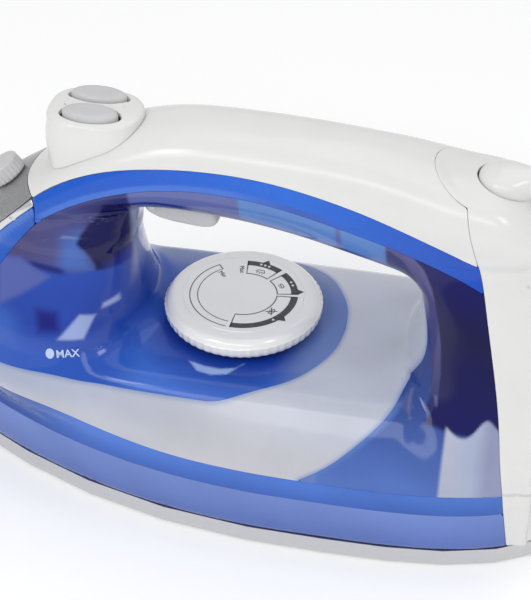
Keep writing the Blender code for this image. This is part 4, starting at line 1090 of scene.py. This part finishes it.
# The trigger: its side outline made dense and smooth, with rounded cheeks.
trigger_line = [(34.8, 114.4), (34.8, 110), (30, 107.2), (22, 105.4), (13, 105), (9.2, 105.8),
                (7.6, 108), (8.2, 110.6), (8.8, 114.6), (31, 115.4)]
dense = []
for (ax, az), (bx, bz) in zip(trigger_line, trigger_line[1:] + trigger_line[:1]):
    dense += [(ax + (bx - ax) * t / 6, az + (bz - az) * t / 6) for t in range(6)]
dense = np.array(dense)
for _ in range(5):
    dense = (np.roll(dense, 1, 0) + 2 * dense + np.roll(dense, -1, 0)) / 4
middle = dense.mean(0)
rings = []
cheek = [(6.4, 1.9), (6.3, 1.2), (5.9, 0.6), (5.2, 0.2), (4.2, 0), (1.5, 0)]       # half width, inset
offset = dense - middle
for y, inset in [(-y, inset) for y, inset in cheek] + cheek[::-1]:
    shrunk = middle + offset * (1 - inset / np.linalg.norm(offset, axis=1)[:, None].clip(4))
    rings.append(np.stack([shrunk[:, 0], np.full(len(shrunk), y), shrunk[:, 1]], 1))
dress(mesh_object("finger_trigger", *over_rings(rings), sharp=60), "grey_plastic", "trigger", "grey_plastic",
      "steam_trigger")


# -------- printed marks

def slabs(name, outlines, low, high, put=lambda u, v, w: (u, v, w)):
    """Thin closed prisms over outlines in a plane."""
    points, faces = [], []
    for outline in outlines:
        area = sum(a[0] * b[1] - b[0] * a[1] for a, b in zip(outline, [*outline[1:], outline[0]]))
        outline = outline if area > 0 else outline[::-1]
        start, count = len(points), len(outline)
        points += [put(u, v, low) for u, v in outline] + [put(u, v, high) for u, v in outline]
        faces.append([start + i for i in reversed(range(count))])
        faces.append([start + count + i for i in range(count)])
        for i in range(count):
            j = (i + 1) % count
            faces.append([start + i, start + j, start + count + j, start + count + i])
    mesh = bpy.data.meshes.new(name)
    mesh.from_pydata(world(points).tolist(), [], faces)
    return link(name, mesh)


FACE = DIAL_FACE + 0.005       # the print's underside, just above the dial
PRINT_START = 192
BAND_INNER, BAND_OUTER, RULE_INNER, RULE_OUTER = 17.3, 19.9, 12, 12.4       # radii of the printed arcs


def polar(radius, degrees):
    """A place on the dial: 0 degrees towards the heel, turning through the camera's side."""
    turn = math.radians(PRINT_START + degrees)
    return (radius * math.cos(turn), radius * math.sin(turn))


def bow(inner, outer, start, end):
    """An arc-shaped stroke."""
    steps = max(3, int(abs(end - start) / 4))
    angles = [start + (end - start) * i / steps for i in range(steps + 1)]
    return [polar(outer, a) for a in angles] + [polar(inner, a) for a in reversed(angles)]


def disc(cx, cy, radius, steps):
    return [(cx + radius * math.cos(2 * math.pi * i / steps), cy + radius * math.sin(2 * math.pi * i / steps))
            for i in range(steps)]


def stroke(ax, ay, bx, by, width):
    """A straight stroke as an outline."""
    length = math.hypot(bx - ax, by - ay)
    nx, ny = -(by - ay) / length * width / 2, (bx - ax) / length * width / 2
    return [(ax + nx, ay + ny), (bx + nx, by + ny), (bx - nx, by - ny), (ax - nx, ay - ny)]


def tick(degrees):
    """A pointer from the thick band outwards."""
    return [polar(19.8, degrees - 4.5), polar(22, degrees), polar(19.8, degrees + 4.5)]


def steam_icon(radius, degrees, size, crossed=False):
    """A small iron outline with steam dots under it, drawn towards the dial's middle."""
    cx, cy = polar(radius, degrees)
    turn = math.radians(PRINT_START + degrees)
    ux, uy, vx, vy = math.cos(turn), math.sin(turn), -math.sin(turn), math.cos(turn)

    def at(u, v):
        return (cx + (ux * u + vx * v) * size, cy + (uy * u + vy * v) * size)
    corners = [(-0.3, -1), (-0.3, 1), (0.35, 0.7), (0.45, -0.6)]
    out = [stroke(*at(*a), *at(*b), 0.28) for a, b in zip(corners, corners[1:] + corners[:1])]
    out += [disc(*at(-0.75, v), 0.22, 8) for v in (-0.6, 0, 0.6)]
    if crossed:
        out.append(stroke(*at(-1.1, -1), *at(0.8, 1), 0.34))
        out.append(stroke(*at(0.8, -1), *at(-1.1, 1), 0.34))
    return out


ink = []
for start, end, pointer_at in ((86, 45, 65), (38.5, -2, 2.6), (-6, -105, -46.7)):      # the heat zones, in degrees
    ink += [bow(BAND_INNER, BAND_OUTER, start, end), bow(RULE_INNER, RULE_OUTER, start, end),
            bow(RULE_INNER, BAND_OUTER, start, start - 1.4), bow(RULE_INNER, BAND_OUTER, end + 1.4, end),
            tick(pointer_at)]
ink += [bow(19.55, BAND_OUTER, 118, 251), bow(16.7, 17, 118, 251), bow(16.7, BAND_OUTER, 117, 118.2)]
ink += steam_icon(14.7, 65, 1.75) + steam_icon(14.7, 18, 1.3) + steam_icon(14.7, -46, 1.6, True)
dress(slabs("dial_print", ink, FACE, FACE + 0.05), "print_ink", "dial", "dark_plastic")
dots = [disc(*polar(18.6, degrees), 0.5, 12) for degrees in (60, 65, 70, 15, 21, -55)]
dress(slabs("dial_dots", dots, FACE + 0.05, FACE + 0.09), "white_plastic", "dial", "white_plastic")


def axes(across, outward):
    """Unit vectors along, up and out of a surface's print."""
    outward = Vector(outward).normalized()
    upright = outward.cross(Vector(across).normalized()).normalized()
    return upright.cross(outward), upright, outward


def lettering(name, words, size, place, across, outward, body, look, weight=0):
    """A short printed word on a surface, lying along one direction."""
    text = bpy.data.curves.new(name, "FONT")
    text.body = words
    text.size = size * MM
    text.extrude = 0.04 * MM
    text.offset = weight * MM
    text.align_x, text.align_y = "CENTER", "CENTER"
    obj = link(name, text)
    obj.matrix_world = placed(*axes(across, outward), world(place))
    obj.data.materials.append(LOOKS[look])
    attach(obj, body)


for words, degrees, radius in (("Min", 124, 14.2), ("Max", 93, 14.6)):
    px, py = polar(radius, degrees)
    lettering("dial_" + words.lower(), words, 2.5, (px, py, FACE + 0.05), (-px, -py, 0), (0, 0, 1), "dial",
              "print_ink")
for sign, side in ((1, "left"), (-1, "right")):        # the tank's level mark: MAX, with a dot ahead of it
    spot = onto(form, np.array([[56.4, 37 * sign, 64.9]]), 6)
    normal = unit_slopes(form, spot)[0]
    lettering("fill_mark_" + side, "MAX", 4, spot[0] + normal * 0.3, (-sign, 0, 0.2), normal, "housing",
              "print_pale", 0.07)
    spot = onto(form, np.array([[62.9, 37.6 * sign, 64.4]]), 6)[0]
    across, upright, _ = map(np.array, axes((-sign, 0, 0), normal))

    def on_skin(u, v, w):
        """A point of the dot, which follows the surface."""
        return onto(form, (spot + across * u * 0.9 + upright * v * 1.15)[None], 3)[0] + normal * (w + 0.1)
    dress(slabs("fill_dot_" + side, [disc(0, 0, 1.75, 28)], 0, 0.12, on_skin), "print_pale", "housing", "clear_pale")


# -------- floor and light

floor = link("floor", bpy.data.meshes.new("floor"))
floor.data.from_pydata([(-4, -4, 0), (4, -4, 0), (4, 4, 0), (-4, 4, 0)], [], [(0, 1, 2, 3)])
floor.data.materials.append(finish("floor", (0.93, 0.93, 0.935), 0.99, (0.5, 0.6), 300, 0.02, specular=0.2,
                                   mottle=3, sheen_dust=0))
floor_shader = floor.data.materials[0].node_tree.nodes["Principled BSDF"]
floor_shader.inputs["Emission Color"].default_value = (1, 1, 1, 1)
floor_shader.inputs["Emission Strength"].default_value = 0.16
studio = bpy.data.worlds.new("studio")
bpy.context.scene.world = studio
studio.use_nodes = True
background = studio.node_tree.nodes["Background"].inputs
background["Color"].default_value = (1, 1, 1, 1)
background["Strength"].default_value = 0.64


def softbox(name, place, size, power):
    """A rectangular light at a place in metres, turned towards the origin."""
    light = bpy.data.lights.new(name, "AREA")
    light.shape = "RECTANGLE"
    light.size, light.size_y = size
    light.energy = power
    lamp = link(name, light)
    lamp.location = place
    lamp.rotation_euler = Vector(place).to_track_quat("Z", "Y").to_euler()


softbox("key", (0.15, 0.80, 0.76), (1.1, 0.22), 2.2)
softbox("window_left", (0.36, 0.53, 0.77), (0.22, 0.16), 0.8)
softbox("window_right", (-0.52, 0.38, 0.77), (0.18, 0.18), 0.7)
softbox("top", (-0.2, -0.3, 1.2), (1, 1), 2.2)
